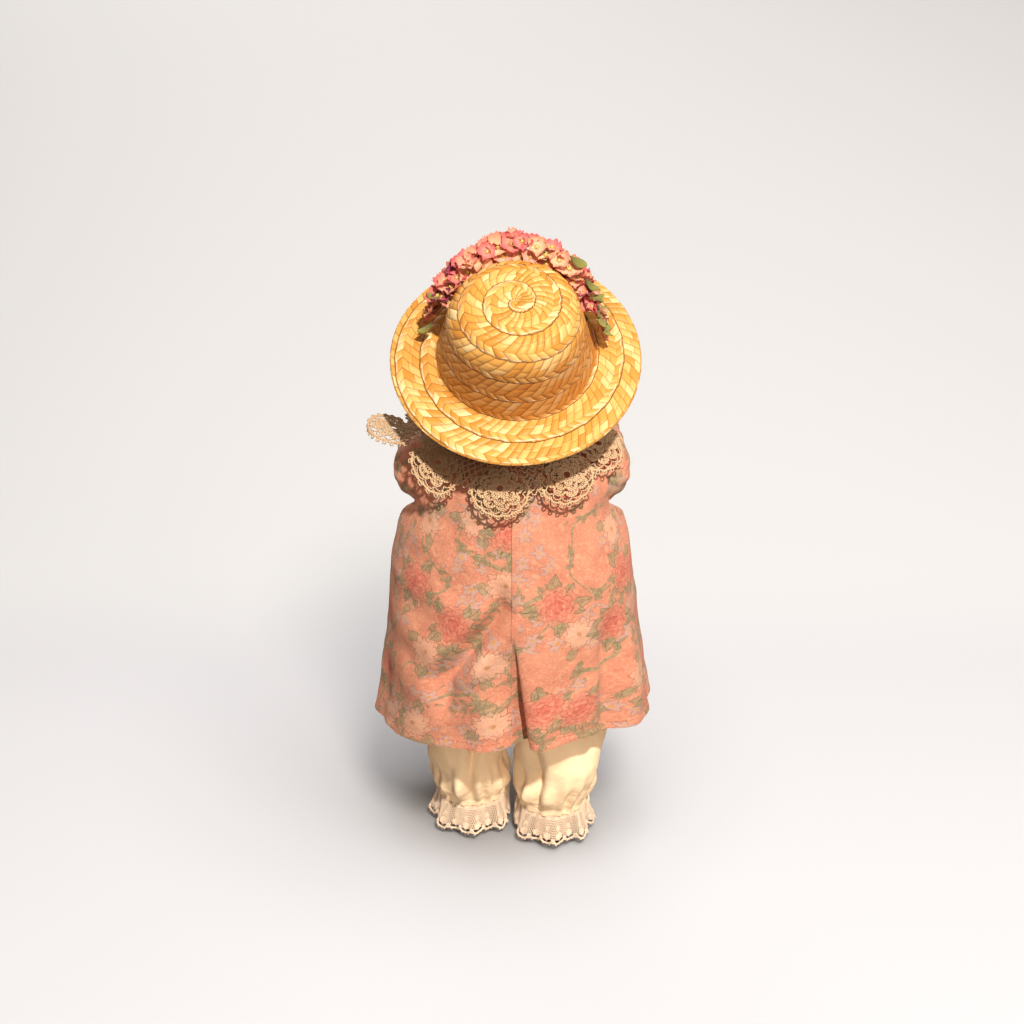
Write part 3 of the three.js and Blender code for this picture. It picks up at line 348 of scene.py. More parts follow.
def straw_plait():
    """Split wheat straw, folded over itself: shiny, each strand its own tone, with painted shade in the row's groove
    and between the straws.
    """
    material, tree, shader = new_material("plaited_wheat_straw", Roughness=0.4)
    shader.inputs["Specular IOR Level"].default_value = 0.45
    uv = add(tree, "UVMap", uv_map="UVMap").outputs[0]
    parts = add(tree, "SeparateXYZ", {0: uv})
    along, row = parts.outputs["X"], parts.outputs["Y"]
    phase = calc(tree, "FRACT", row)
    from_apex = calc(tree, "ABSOLUTE", calc(tree, "SUBTRACT", phase, APEX))
    chevron = calc(tree, "MULTIPLY_ADD", along, 1 / STRAND_MM, calc(tree, "MULTIPLY", from_apex, -CHEVRON))
    strand = calc(tree, "FLOOR", chevron)
    across = calc(tree, "FRACT", chevron)
    # Every other straw dives under its neighbours a little sooner
    dive = calc(tree, "MULTIPLY_ADD", calc(tree, "PINGPONG", strand, 1.0), DIVE_STEP, DIVE_AT)
    past_dive = calc(tree, "SUBTRACT", from_apex, dive)
    below_apex = calc(tree, "GREATER_THAN", phase, APEX)
    number = add(tree, "CombineXYZ", {0: strand, 1: calc(tree, "FLOOR", row), 2: calc(
        tree, "MULTIPLY_ADD", calc(tree, "GREATER_THAN", past_dive, 0.0), 2.0, below_apex)})
    random_tone = add(tree, "TexWhiteNoise", {"Vector": number.outputs[0]}, noise_dimensions="3D")
    tone = add(tree, "ValToRGB", {0: random_tone.outputs["Value"]})
    ramp = tone.color_ramp
    ramp.elements[0].color = colour("#DB9A44")
    ramp.elements[1].color = colour("#FCE6B0")
    ramp.elements.new(0.45).color = colour("#EEB862")
    ramp.elements.new(0.8).color = colour("#F6CE84")
    fibre_place = add(tree, "CombineXYZ", {0: calc(tree, "MULTIPLY", across, 9.0), 1: strand,
                                                     2: calc(tree, "MULTIPLY", from_apex, 1.5)})
    fibre = add(tree, "TexNoise", {"Vector": fibre_place.outputs[0], "Scale": 1.6, "Detail": 3.0})
    streaked = over(tree, calc(tree, "MULTIPLY", step_down(tree, fibre.outputs["Fac"], 0.46, 0.08), 0.32),
                    tone.outputs["Color"], colour("#CF8A31"))
    # Painted shade: the gaps between straws, where a straw goes under its neighbours, the fold and the groove between
    # rows are coloured darker
    edge = calc(tree, "ABSOLUTE", calc(tree, "SUBTRACT", across, 0.5))
    gap_shade = step_down(tree, edge, 0.468, -0.024)
    dark = over(tree, calc(tree, "MULTIPLY", gap_shade, 0.72), streaked, colour("#8A4A12"))
    under = step_down(tree, calc(tree, "ABSOLUTE", past_dive), 0.014, 0.008)
    dark = over(tree, calc(tree, "MULTIPLY", under, 0.55), dark, colour("#9A5A1C"))
    fold_shade = step_down(tree, from_apex, 0.02, 0.012)
    dark = over(tree, calc(tree, "MULTIPLY", fold_shade, 0.35), dark, colour("#B3701F"))
    groove_shade = step_down(tree, calc(tree, "ABSOLUTE", calc(tree, "SUBTRACT", phase, 0.5)), 0.482, -0.014)
    dark = over(tree, calc(tree, "MULTIPLY", groove_shade, 0.7), dark, colour("#7A4516"))
    # Painted shade: the side of the crown is darkened to a deep orange all round, as it lies in shade
    place = add(tree, "TexCoord").outputs["Object"]
    away = add(tree, "VectorMath", {0: place, 1: tuple(place_of(*HAT))}, operation="SUBTRACT").outputs[0]
    axis = (0.0, math.sin(HAT_TILT), math.cos(HAT_TILT))
    high = add(tree, "VectorMath", {0: away, 1: axis}, operation="DOT_PRODUCT").outputs["Value"]
    shaded_crown_side = calc(tree, "MULTIPLY", step_down(tree, high, 0.042, 0.012), step_down(tree, high, 0.0045, -0.003))
    dark = over(tree, calc(tree, "MULTIPLY", shaded_crown_side, 0.6), dark, colour("#A85A14"))
    # The sewing thread wanders along the row's edge
    wander = calc(tree, "MULTIPLY_ADD", calc(tree, "SINE", calc(tree, "MULTIPLY", along, 0.55)), 0.022, 0.925)
    off_thread = calc(tree, "ABSOLUTE", calc(tree, "SUBTRACT", phase, wander))
    show = step_down(tree, calc(tree, "FRACT", calc(tree, "MULTIPLY", along, 0.052)), 0.7, 0.05)
    shown = calc(tree, "MULTIPLY", step_down(tree, off_thread, 0.022, 0.008), show)
    dark = over(tree, shown, dark, colour("#F6D6B8"))
    tree.links.new(dark, shader.inputs["Base Color"])
    rounded = calc(tree, "POWER", calc(tree, "SINE", calc(tree, "MULTIPLY", across, math.pi)), 0.5)
    height = calc(tree, "MULTIPLY_ADD", fibre.outputs["Fac"], 0.2, rounded)
    relief(tree, shader, height, 0.8, 0.8)
    return material


STRAND_MM = 7.4  # one straw to the next, along the row
PLAIT_PITCH = 17.0  # width of one row
APEX = 0.7  # where across the row the straws turn back
CHEVRON = 2.0  # how far the straws slant back from there, in straws
DIVE_AT, DIVE_STEP = 0.27, 0.13  # where a straw goes under its neighbours
STRAW = straw_plait()


def cloth_petal(name, light, dark):
    """Thin dyed cotton, paler at the rim: the UV's second number runs from the petal's root to its rim."""
    material, tree, shader = new_material(name, Roughness=0.8)
    shader.inputs["Sheen Weight"].default_value = 0.2
    shader.inputs["Subsurface Weight"].default_value = 0.12
    shader.inputs["Subsurface Radius"].default_value = (0.003, 0.0015, 0.001)
    shader.inputs["Subsurface Scale"].default_value = 1.0
    uv = add(tree, "UVMap", uv_map="UVMap").outputs[0]
    parts = add(tree, "SeparateXYZ", {0: uv})
    place = add(tree, "TexCoord").outputs["Object"]
    cloud = add(tree, "TexNoise", {"Vector": place, "Scale": 160.0, "Detail": 3.0})
    rim = calc(tree, "ADD", parts.outputs["Y"], calc(tree, "MULTIPLY_ADD", cloud.outputs["Fac"], 0.7, -0.35))
    tree.links.new(over(tree, rim, colour(dark), colour(light)), shader.inputs["Base Color"])
    veins = calc(tree, "SINE", calc(tree, "MULTIPLY", parts.outputs["X"], 40.0))
    relief(tree, shader, veins, 0.12, 0.6)
    return material


DYES = {"salmon": ("#FAC6B4", "#EB9080"), "peach": ("#FBD3B4", "#EFA084"), "pink": ("#F4A49C", "#D8606C"),
        "cream": ("#FCE3C0", "#EDB98C"), "magenta": ("#C2447A", "#6E1737")}
PETALS = [cloth_petal(f"{dye}_cloth_petal", *tones) for dye, tones in DYES.items()]
LEAF = cloth_petal("olive_cloth_leaf", "#9A9A50", "#5A6630")
STAMEN = cloth_petal("yellow_stamens", "#F4E08A", "#C9B04A")
print("straw:", len(STRAW.node_tree.nodes), "nodes, and", len(PETALS), "petal dyes")


# %% [markdown]
# Cloth and straw are both sheets. Each is made from one flat grid, as from a bolt of cloth, and every
# point of the grid is then moved to where that bit of the sheet lies on the doll. The grid's UV map
# stays the flat one, in millimetres, so that a print or plait follows the sheet and isn't stretched.

# %% Helpers for sheets
def only(piece):
    bpy.ops.object.select_all(action="DESELECT")
    piece.select_set(True)
    bpy.context.view_layer.objects.active = piece


def edit(piece, operator, everything=True, **settings):
    """Runs one of edit mode's operators on the whole piece, or on what is selected in it."""
    only(piece)
    bpy.ops.object.mode_set(mode="EDIT")
    if everything:
        bpy.ops.mesh.select_all(action="SELECT")
    operator(**settings)
    bpy.ops.object.mode_set(mode="OBJECT")


def apply_all(piece):
    only(piece)
    for modifier in list(piece.modifiers):
        bpy.ops.object.modifier_apply(modifier=modifier.name)


def joined(parts):
    """Makes one piece of several."""
    bpy.ops.object.select_all(action="DESELECT")
    for part in parts:
        part.select_set(True)
    bpy.context.view_layer.objects.active = parts[0]
    if len(parts) > 1:
        bpy.ops.object.join()
    return bpy.context.object


def vectors_of(items, name):
    """One vector for each vertex or face, as rows of an array."""
    values = np.empty(len(items) * 3)
    items.foreach_get(name, values)
    return values.reshape(-1, 3)


def points_of(piece):
    return vectors_of(piece.data.vertices, "co") / MM - NECK_AXIS


def set_points(piece, points):
    piece.data.vertices.foreach_set("co", ((points + NECK_AXIS) * MM).ravel())
    piece.data.update()


def sheet_from_grid(name, across, down, shape, flat=(1, 1), weld=True, uv_of=None):
    """shape(u, v) gives x, y, z in mm for u across and v down, both 0 to 1. flat is its size in mm."""
    bpy.ops.object.select_all(action="DESELECT")
    bpy.ops.mesh.primitive_grid_add(x_subdivisions=across, y_subdivisions=down, size=1)
    piece = bpy.context.object
    piece.name = name
    mesh = piece.data
    co = vectors_of(mesh.vertices, "co")
    set_points(piece, np.stack(shape(co[:, 0] + 0.5, 0.5 - co[:, 1]), axis=1))
    layer = mesh.uv_layers.active
    layer.name = "UVMap"
    uv = np.empty(len(mesh.loops) * 2)
    layer.data.foreach_get("uv", uv)
    uv = uv.reshape(-1, 2)
    if uv_of is None:
        uv = uv * np.array(flat)
    else:
        uv = np.stack(uv_of(uv[:, 0], 1 - uv[:, 1]), axis=1)
    layer.data.foreach_set("uv", uv.ravel())
    mesh.update()
    if weld:
        edit(piece, bpy.ops.mesh.remove_doubles, threshold=0.00002)
    only(piece)
    bpy.ops.object.shade_smooth()
    return piece


def face_outwards(piece, centre=None):
    """Turns the sheet's faces away from the centre, given in mm."""
    faces = piece.data.polygons
    normals, centres = vectors_of(faces, "normal"), vectors_of(faces, "center")
    middle = centres.mean(0) if centre is None else (np.array(centre) + NECK_AXIS) * MM
    if np.einsum("ij,ij->i", normals, centres - middle).sum() < 0:
        edit(piece, bpy.ops.mesh.flip_normals)


def thicken(piece, mm, offset=-1.0):
    solidify = piece.modifiers.new("cloth_thickness", "SOLIDIFY")
    solidify.thickness = mm * MM
    solidify.offset = offset
    apply_all(piece)


def dress_in(piece, material, body, *nodes, slot=None):
    """Gives a finished piece its material, its body, and the CAD solids it stands for."""
    piece.data.materials.clear()
    piece.data.materials.append(material)
    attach(piece, body)
    if nodes:
        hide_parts(*nodes)


def rows_at(table, k):
    """Values of a table at row numbers k, on smooth curves through its rows."""
    t = np.asarray(table, float)
    k = np.clip(k, 0, len(t) - 1.0001)
    i = np.floor(k).astype(int)
    f = (k - i)[:, None]
    a, b = t[np.maximum(i - 1, 0)], t[i]
    c, d = t[i + 1], t[np.minimum(i + 2, len(t) - 1)]
    return 0.5 * (2 * b + (c - a) * f + (2 * a - 5 * b + 4 * c - d) * f ** 2 + (3 * b - a - 3 * c + d) * f ** 3)


def smooth(x, low, high):
    t = np.clip((x - low) / (high - low), 0, 1)
    return t * t * (3 - 2 * t)


def crumple(x, y, z, size_mm, seed):
    """Soft random relief, from -1 to 1, with bumps about as wide as size_mm."""
    return np.array([noise.noise(Vector((a / size_mm + seed, b / size_mm, c / size_mm)))
                     for a, b, c in zip(x, y, z)])


# %% [markdown]
# The straw hat. A real one is a single long plait sewn edge over edge in a spiral, from the middle of
# the crown out to the brim. The sheet below is shaped to the crown and brim, and the height of each
# point is taken from where it lies across its row and along the plait, so rows, folds of straw and the
# groove between rows are all real relief. Rows rise by one plait width for each turn.

# %% Straw hat
BRIM_R, CROWN_BASE_R, CROWN_TOP_R, CROWN_H = 84.5, 53.0, 43.0, 62.0


def bezier(a, b, c):
    t = np.linspace(0, 1, 40)[:, None]
    a, b, c = np.array(a, float), np.array(b, float), np.array(c, float)
    return a * (1 - t) ** 2 + 2 * b * t * (1 - t) + c * t ** 2


edge, top_r = CROWN_TOP_R, CROWN_TOP_R - 15
hat_line = np.concatenate([
    bezier((0, CROWN_H), (top_r * 0.6, CROWN_H - 0.5), (top_r, CROWN_H - 3)),
    bezier((top_r, CROWN_H - 3), (edge - 1, CROWN_H - 6), (edge + 1, CROWN_H - 22))[1:],
    bezier((edge + 1, CROWN_H - 22), ((edge + CROWN_BASE_R) / 2, CROWN_H / 2 - 9), (CROWN_BASE_R - 1, 4))[1:],
    bezier((CROWN_BASE_R - 1, 4), (CROWN_BASE_R, 1), (CROWN_BASE_R + 4, 0.8))[1:],
    bezier((CROWN_BASE_R + 4, 0.8), (70, 0), (BRIM_R, -1.5))[1:],
])
hat_steps = np.concatenate([[0], np.cumsum(np.hypot(*np.diff(hat_line, axis=0).T))])
HAT_LENGTH = hat_steps[-1]
hat_slope = np.gradient(hat_line, hat_steps, axis=0)


def tilted(x, y, h):
    """From the hat's own coordinates to the doll's, in mm."""
    c, s = math.cos(HAT_TILT), math.sin(HAT_TILT)
    return HAT[0] + x, HAT[1] + y * c + h * s, HAT[2] - y * s + h * c


def on_hat(r, angle, h):
    return tilted(r * np.cos(angle), r * np.sin(angle), h)


def hat_row(u, s):
    """Where a point lies along the plait in mm, and its row number and place across the row."""
    row = s / PLAIT_PITCH - u + 0.012 * np.sin(46 * np.pi * u + s * 0.2)
    middle = (np.floor(row) + 0.5 + u) * PLAIT_PITCH
    r = np.interp(np.clip(middle, 3, HAT_LENGTH), hat_steps, hat_line[:, 0])
    along = TAU * r * u
    return along + 1.5 * np.sin(0.13 * along + 3 * np.floor(row)), row


def hat_side(sign):
    def shape(u, v):
        s = np.clip(v * HAT_LENGTH, 0.02, HAT_LENGTH)
        angle = TAU * u - np.pi / 2
        along, row = hat_row(u, s)
        phase = row - np.floor(row)
        from_apex = np.abs(phase - APEX)
        chevron = along / STRAND_MM - from_apex * CHEVRON
        straw = np.abs(np.sin(np.pi * chevron)) ** 0.45
        dive = DIVE_AT + DIVE_STEP * (np.floor(chevron) % 2)
        dip = 1 - 0.75 * np.exp(-((from_apex - dive) / 0.035) ** 2) - 0.4 * np.exp(-(from_apex / 0.03) ** 2)
        ridge = np.clip(np.sin(np.pi * phase), 0, 1) ** 0.25
        overlap = 0.35 + 0.65 * phase
        fade = smooth(s, 0, 8)
        rise = 0.9 + fade * ridge * (0.95 * overlap + 0.6 * straw * dip)
        rise = rise + 0.2 * fade * np.sin(along * 0.23 + np.floor(row) * 2.4) * ridge
        r = np.interp(s, hat_steps, hat_line[:, 0])
        h = np.interp(s, hat_steps, hat_line[:, 1])
        dr = np.interp(s, hat_steps, hat_slope[:, 0])
        dh = np.interp(s, hat_steps, hat_slope[:, 1])
        out = sign * rise
        wave = 1.3 * smooth(r, 60, BRIM_R) * (np.sin(2 * angle + 0.7) + 0.5 * np.sin(3 * angle + 2))
        nearer = 0.6 * np.sin(3 * angle + 1) * smooth(r, 30, 45) * smooth(60, r, r + 20)
        return on_hat(np.maximum(r - out * dh + nearer, 0), angle, h + out * dr + wave)
    return shape


def hat_uv(u, v):
    return hat_row(u, np.clip(v * HAT_LENGTH, 0.02, HAT_LENGTH))


INSIDE = -0.55  # the inner side lies the other way from the line, with flatter straws
hat_outside = sheet_from_grid("straw_hat_outside", 480, 170, hat_side(1), uv_of=hat_uv)
hat_inside = sheet_from_grid("straw_hat_inside", 220, 80, hat_side(INSIDE), uv_of=hat_uv)
face_outwards(hat_outside, HAT + np.array([0, -200, -300]))
face_outwards(hat_inside, HAT + np.array([0, 200, 300]))


def rim_shape(u, v):
    """The hat's rim, closed by a narrow sheet between its outside and its inside."""
    a, b = (np.stack(hat_side(sign)(u, np.ones_like(u)), axis=1) for sign in (1, INSIDE))
    p = a * (1 - v)[:, None] + b * v[:, None]
    away = (p - HAT) / np.linalg.norm(p - HAT, axis=1)[:, None]
    return (p + away * (1.1 * np.sin(np.pi * v))[:, None]).T


def rim_uv(u, v):
    return TAU * BRIM_R * u, 0.42 + 0.2 * v


hat_rim = sheet_from_grid("straw_hat_rim", 480, 5, rim_shape, uv_of=rim_uv)
face_outwards(hat_rim, HAT)
for piece, nodes in ((hat_outside, ("straw_hat",)), (hat_inside, ()), (hat_rim, ())):
    dress_in(piece, STRAW, "hat", *nodes, slot="straw")
print("straw hat:", sum(len(p.data.polygons) for p in (hat_outside, hat_inside, hat_rim)), "faces")


# %% [markdown]
# Cloth blossoms. Each one is five cupped petals round a tuft of yellow stamens. One petal is shaped
# from a small grid, five are set round, and the finished flower is copied over the front of the crown
# with its own size, turn and lean each time, so that the garland heaps up as the real one does.

# %% Garland of blossoms and leaves
def petal_points(u, v, reach, width, cup, ruffle, seed):
    """One petal, root at v = 0 and rim at v = 1, lying outwards along +X."""
    across = (u - 0.5) * 2
    along = reach * (v ** 0.9) * (1 - 0.2 * across ** 2 * v + 0.08 * np.cos(3 * across + seed) * v)
    side = across * width * np.sin(np.pi * np.clip(0.12 + 0.72 * v, 0, 1)) ** 0.8
    lift = cup * (v ** 1.6) + 0.9 * across ** 2 * v
    lift = lift + ruffle * v ** 2 * np.sin(across * 5 + seed)
    return along, side, lift


def flower(name, reach, petals, dye, seed):
    rng = random.Random(seed)
    parts = []
    for i in range(petals):
        turn = TAU * (i + rng.uniform(-0.12, 0.12)) / petals
        cup, ruffle = rng.uniform(1.5, 6.0), rng.uniform(0.7, 1.5)
        length = reach * rng.uniform(0.84, 1.12)

        def shape(u, v):
            x, y, z = petal_points(u, v, length, reach * 0.54, cup, ruffle, seed + i)
            c, s = math.cos(turn), math.sin(turn)
            return x * c - y * s, x * s + y * c, z + 0.5 + 0.15 * i
        parts.append(sheet_from_grid(name, 6, 6, shape, weld=False))
    for piece in parts:
        piece.data.materials.append(dye)
    bpy.ops.object.select_all(action="DESELECT")
    bpy.ops.mesh.primitive_uv_sphere_add(segments=10, ring_count=6, radius=0.16 * reach * MM,
                                         location=place_of(0, 0, 1.6))
    heart = bpy.context.object
    heart.data.materials.append(STAMEN)
    for i in range(7):
        a = TAU * i / 7 + seed
        bpy.ops.mesh.primitive_ico_sphere_add(subdivisions=1, radius=0.06 * reach * MM, location=place_of(
            0.21 * reach * math.cos(a), 0.21 * reach * math.sin(a), 2.3))
        bpy.context.object.data.materials.append(STAMEN)
        parts.append(bpy.context.object)
    blossom = joined(parts + [heart])
    blossom.name = name
    bpy.ops.object.transform_apply()
    bpy.ops.object.shade_smooth()
    return blossom


def crown_radius(h):
    side = hat_line[hat_line[:, 0] < CROWN_BASE_R + 1]
    return float(np.interp(h, side[::-1, 1], side[::-1, 0]))


def set_on_crown(piece, angle_deg, h, lean_deg, spin_deg, stand_mm, size):
    """Moves a flower's points from the flat to its place on the crown."""
    p = points_of(piece) * size
    a, lean, spin = math.radians(angle_deg - 90), math.radians(lean_deg), math.radians(spin_deg)
    c, s = math.cos(spin), math.sin(spin)
    x, y = p[:, 0] * c - p[:, 1] * s, p[:, 0] * s + p[:, 1] * c
    out = np.array([math.cos(a) * math.cos(lean), math.sin(a) * math.cos(lean), math.sin(lean)])
    side = np.array([-math.sin(a), math.cos(a), 0.0])
    up_way = np.cross(out, side)
    r = crown_radius(min(h, 52)) + stand_mm
    base = np.array([r * math.cos(a), r * math.sin(a), h])
    q = base + np.outer(p[:, 2], out) + np.outer(x, side) + np.outer(y, up_way)
    set_points(piece, np.stack(tilted(*q.T), axis=1))


# For each row: how high on the crown, mm off it, and how steeply its blossoms face up
GARLAND_ROWS = ((0.84, 2.0, 112), (0.93, 7, 92), (0.86, 12.5, 66), (0.66, 14.5, 38), (0.44, 12, 16), (0.22, 9, 4))


def garland_places(seed):
    """Rows of places over the front of the crown, from its top edge out and down to the brim."""
    rng = random.Random(seed)
    places = []
    for level, off, facing in GARLAND_ROWS:
        for angle in np.arange(-76 + rng.uniform(0, 4), 74, 9.6):
            angle = angle + rng.uniform(-2.5, 2.5)
            full = math.sqrt(max(0.05, 1 - (angle / 90) ** 2))
            h = 9 + (14 + 41 * full) * level * (0.55 + 0.45 * full) + rng.uniform(-2, 2)
            stand = 3 + (off - 1) * full + rng.uniform(-1.5, 1.5)
            places.append((angle, h, stand, 8 + (facing - 8) * full ** 0.7))
    return places


models = [flower(f"blossom_model_{i}", 9.6, 5, dye, 11 + i) for i, dye in enumerate(PETALS)]
rng = random.Random(7)
flowers = []
for i, (angle, h, stand, facing) in enumerate(garland_places(5)):
    model = models[4 if i % 14 == 3 else rng.choice([0, 0, 0, 1, 1, 2, 2, 3])]
    copy = model.copy()
    copy.data = model.data.copy()
    copy.name = f"garland_blossom_{i + 1:02d}"
    bpy.context.scene.collection.objects.link(copy)
    lean, spin = facing + rng.uniform(-18, 18), rng.uniform(0, 360)
    set_on_crown(copy, angle, h, lean, spin, stand, rng.uniform(0.66, 0.98))
    flowers.append(copy)
for model in models:
    bpy.data.objects.remove(model)
CAD_BLOSSOMS, CAD_LEAVES = 14, 3
for i, piece in enumerate(flowers):
    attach(piece, "hat")
    if i < CAD_BLOSSOMS:
        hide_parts(f"blossom_{i + 1:02d}")
print("garland:", len(flowers), "blossoms")


def leaf_sheet(name, length, width, bend):
    def shape(u, v):
        across = (u - 0.5) * 2
        half = width / 2 * np.sin(np.pi * np.clip(v, 0, 1) ** 0.8) ** 0.8
        return across * half, (v - 0.5) * length, 1.2 + bend * (v - 0.4) ** 2 * 4 - across ** 2
    return sheet_from_grid(name, 6, 12, shape, weld=False)


# For each leaf: degrees round the crown and mm up it
leaf_spots = [(-76, 16), (-80, 26), (-70, 40), (78, 14), (-82, 20), (-66, 48), (-74, 32), (70, 40), (-50, 58),
              (-60, 22), (46, 20), (-20, 24), (20, 16), (-84, 34), (4, 40), (60, 30)]
for i, (angle, h) in enumerate(leaf_spots):
    piece = leaf_sheet(f"garland_leaf_{i + 1:02d}", rng.uniform(11, 15), rng.uniform(5, 7), rng.uniform(0.5, 3))
    full = math.sqrt(1 - (angle / 92) ** 2)
    set_on_crown(piece, angle, h, 20 + 80 * full + rng.uniform(-20, 20), rng.uniform(-80, 80), 8 + 8 * full, 1.0)
    thicken(piece, 0.35, 0.0)
    dress_in(piece, LEAF, "hat", *([f"leaf_{i + 1}"] if i < CAD_LEAVES else []), slot="leaf_cloth")
print("garland:", len(leaf_spots), "leaves")


# %% [markdown]
# Under the flowers runs a band of wound paper stems, which holds them to the crown. Inside the crown a
# grosgrain ribbon is sewn to the straw. The stems are three twisted strands swept along the band, and
# the ribbon is a plain strip set against the crown's inside.

# %% Strands: threads, stems and hair are all tubes swept along a line
def tubes(name, strands, sides):
    """Each strand is (points in mm, normals, radius, closed). Returns one mesh with UVs along and round."""
    verts, faces, uvs = [], [], []
    count = 0
    for points, normals, radius, closed in strands:
        p = np.asarray(points, float)
        n = len(p)
        if closed:
            tangent = np.roll(p, -1, 0) - np.roll(p, 1, 0)
        else:
            tangent = np.gradient(p, axis=0)
        tangent /= np.linalg.norm(tangent, axis=1)[:, None] + 1e-9
        up_way = np.asarray(normals, float)
        side = np.cross(tangent, up_way)
        side /= np.linalg.norm(side, axis=1)[:, None] + 1e-9
        top = np.cross(side, tangent)
        radii = np.broadcast_to(np.asarray(radius, float), (n,))
        phi = TAU * np.arange(sides) / sides
        ring = (p[:, None, :] + radii[:, None, None] * (np.cos(phi)[None, :, None] * side[:, None, :]
                                                        + np.sin(phi)[None, :, None] * top[:, None, :]))
        verts.append(ring.reshape(-1, 3))
        gone = np.concatenate([[0], np.cumsum(np.linalg.norm(np.diff(p, axis=0), axis=1))])
        last = n if closed else n - 1
        i, j = np.meshgrid(np.arange(last), np.arange(sides), indexing="ij")
        i, j = i.ravel(), j.ravel()
        i2, j2 = (i + 1) % n, (j + 1) % sides
        quad = count + np.stack([i * sides + j, i * sides + j2, i2 * sides + j2, i2 * sides + j], axis=1)
        faces.append(quad)
        step = np.append(gone, gone[-1] + np.linalg.norm(p[0] - p[-1]))
        uvs.append(np.stack([step[i], j / sides, step[i], (j + 1) / sides, step[i + 1], (j + 1) / sides,
                             step[i + 1], j / sides], axis=1).reshape(-1, 2))
        if not closed:
            for start, order in ((0, -1), (n - 1, 1)):
                cap = count + start * sides + np.arange(sides)[::order]
                while len(cap) > 3:
                    faces.append(np.array([[cap[0], cap[1], cap[2], cap[3]]]))
                    uvs.append(np.zeros((4, 2)))
                    cap = np.concatenate([cap[:1], cap[3:]])
                if len(cap) == 3:
                    faces.append(np.array([[cap[0], cap[1], cap[2], -1]]))
                    uvs.append(np.zeros((3, 2)))
        count += n * sides
    mesh = bpy.data.meshes.new(name)
    everything = np.concatenate(verts)
    listed = [[int(v) for v in f if v >= 0] for f in np.concatenate(faces)]
    mesh.from_pydata([tuple(v) for v in (everything + NECK_AXIS) * MM], [], listed)
    layer = mesh.uv_layers.new(name="UVMap")
    layer.data.foreach_set("uv", np.concatenate(uvs).ravel())
    mesh.update()
    piece = bpy.data.objects.new(name, mesh)
    bpy.context.scene.collection.objects.link(piece)
    only(piece)
    bpy.ops.object.shade_smooth()
    return piece


def two_tone(name, rough, under, upper, kind, pattern, height_mm, strength, stretch=None):
    """A finish in two tones that follow one pattern through the piece, which is also its fine relief."""
    material, tree, shader = new_material(name, Roughness=rough)
    place = add(tree, "TexCoord").outputs["Object"]
    if stretch:
        place = add(tree, "Mapping", {"Vector": place, "Scale": stretch}).outputs[0]
    marks = add(tree, kind, {"Vector": place, **pattern}).outputs["Fac"]
    tree.links.new(over(tree, marks, colour(under), colour(upper)), shader.inputs["Base Color"])
    relief(tree, shader, marks, height_mm, strength)
    return material


STEM = two_tone("wound_paper_stem", 0.75, "#59683A", "#8A9255", "TexNoise", {"Scale": 220.0, "Detail": 3.0}, 0.3, 0.6)
stem_strands = []
for k in range(9):
    u = np.linspace(0, 1, 60)
    angle = np.radians(-90 - 64 + 128 * u)
    h = 10 + (k % 3) * 13 * np.sqrt(np.clip(1 - (2 * u - 1) ** 2, 0, 1)) + 2.2 * np.sin(14 * u + k * 2.1)
    r = np.array([crown_radius(v) for v in h]) + 2.9 + 0.9 * np.cos(14 * u + k * 2.1)
    points = np.stack(on_hat(r, angle, h), axis=1)
    outwards = points - np.stack(on_hat(np.zeros(60), angle, h), axis=1)
    stem_strands.append((points, outwards, 0.8, False))
stems = tubes("garland_stems", stem_strands, 6)
dress_in(stems, STEM, "hat", "garland_band", slot="garland_stems")


def ribbon_shape(u, v):
    h = 1.5 + 12.5 * v
    r = 50.6 - 3.4 * v
    angle = TAU * u
    return on_hat(r + 0.25 * np.sin(angle * 9) * np.sin(np.pi * v), angle, h)


hat_ribbon = sheet_from_grid("hat_ribbon", 120, 6, ribbon_shape, (320, 14))
thicken(hat_ribbon, 0.9, 0.0)
dress_in(hat_ribbon, CREAM, "hat", "hat_band", slot="hat_ribbon")
print("stems and ribbon done")


# %% [markdown]
# The dress. It is cut as one piece that hangs from the neck, with a seam down the middle of the back
# that opens into a deep inverted fold, and a narrow stitched hem. The grid is wrapped round the doll
# with its join at that seam. The folds are written as hollows and flutes with the places and depths
# that the photograph shows, which holds them better than a simulation would. Beside the arms the cloth
# is pressed in towards the body, as far as the arms need to swing, and small holes let the joints through.

# %% Dress
DRESS_ROWS = np.array([
    [27, 24, 327.5], [45, 34, 326], [60, 42.5, 323], [71, 47.5, 317], [77, 50, 308], [79, 51.5, 292],
    [82, 54, 268], [87, 58, 242], [90, 62, 210], [92.5, 65, 175], [96, 68.5, 142], [100, 71.5, 109],
])
HEM_Z = 109
FOLD_DEEP, FOLD_TAKE = 15, 14  # mm that the cloth goes in behind the lap, and mm that it runs under
dress_k = np.linspace(0, len(DRESS_ROWS) - 1, 200)
dress_line = rows_at(DRESS_ROWS, dress_k)
dress_run = np.concatenate([[0], np.cumsum(np.hypot(np.diff(dress_line[:, 0]), np.diff(dress_line[:, 2])))])
DRESS_DROP = dress_run[-1]


def lapped_fold(turn, w, z):
    """Below the seam the right panel laps over the left: cloth runs under it and back, as in a pleat."""
    share = smooth(219 - z, 0, 104)
    take = 0.01 + FOLD_TAKE * share
    start = np.arcsin(-(1.5 - 13 * np.clip((217 - z) / 108, 0, 1)) / w)
    s = (turn - start) * w
    far = (np.pi - start) * w
    moved = np.where(s < take, s, np.where(s < 2 * take, 2 * take - s, (s - 2 * take) * far / (far - 2 * take)))
    past = s - 2 * take
    lip = -2 * np.exp(-(past / 3) ** 2) + 3.4 * np.exp(-((past - 9) / 8) ** 2)
    beyond = np.where(past < 0, -FOLD_DEEP + 13 * (s - take) / take, lip)
    deep = np.where(s < 0, -FOLD_DEEP * np.exp(-(s / 13) ** 2), np.where(s < take, -FOLD_DEEP, beyond))
    return start + moved / w, deep * share


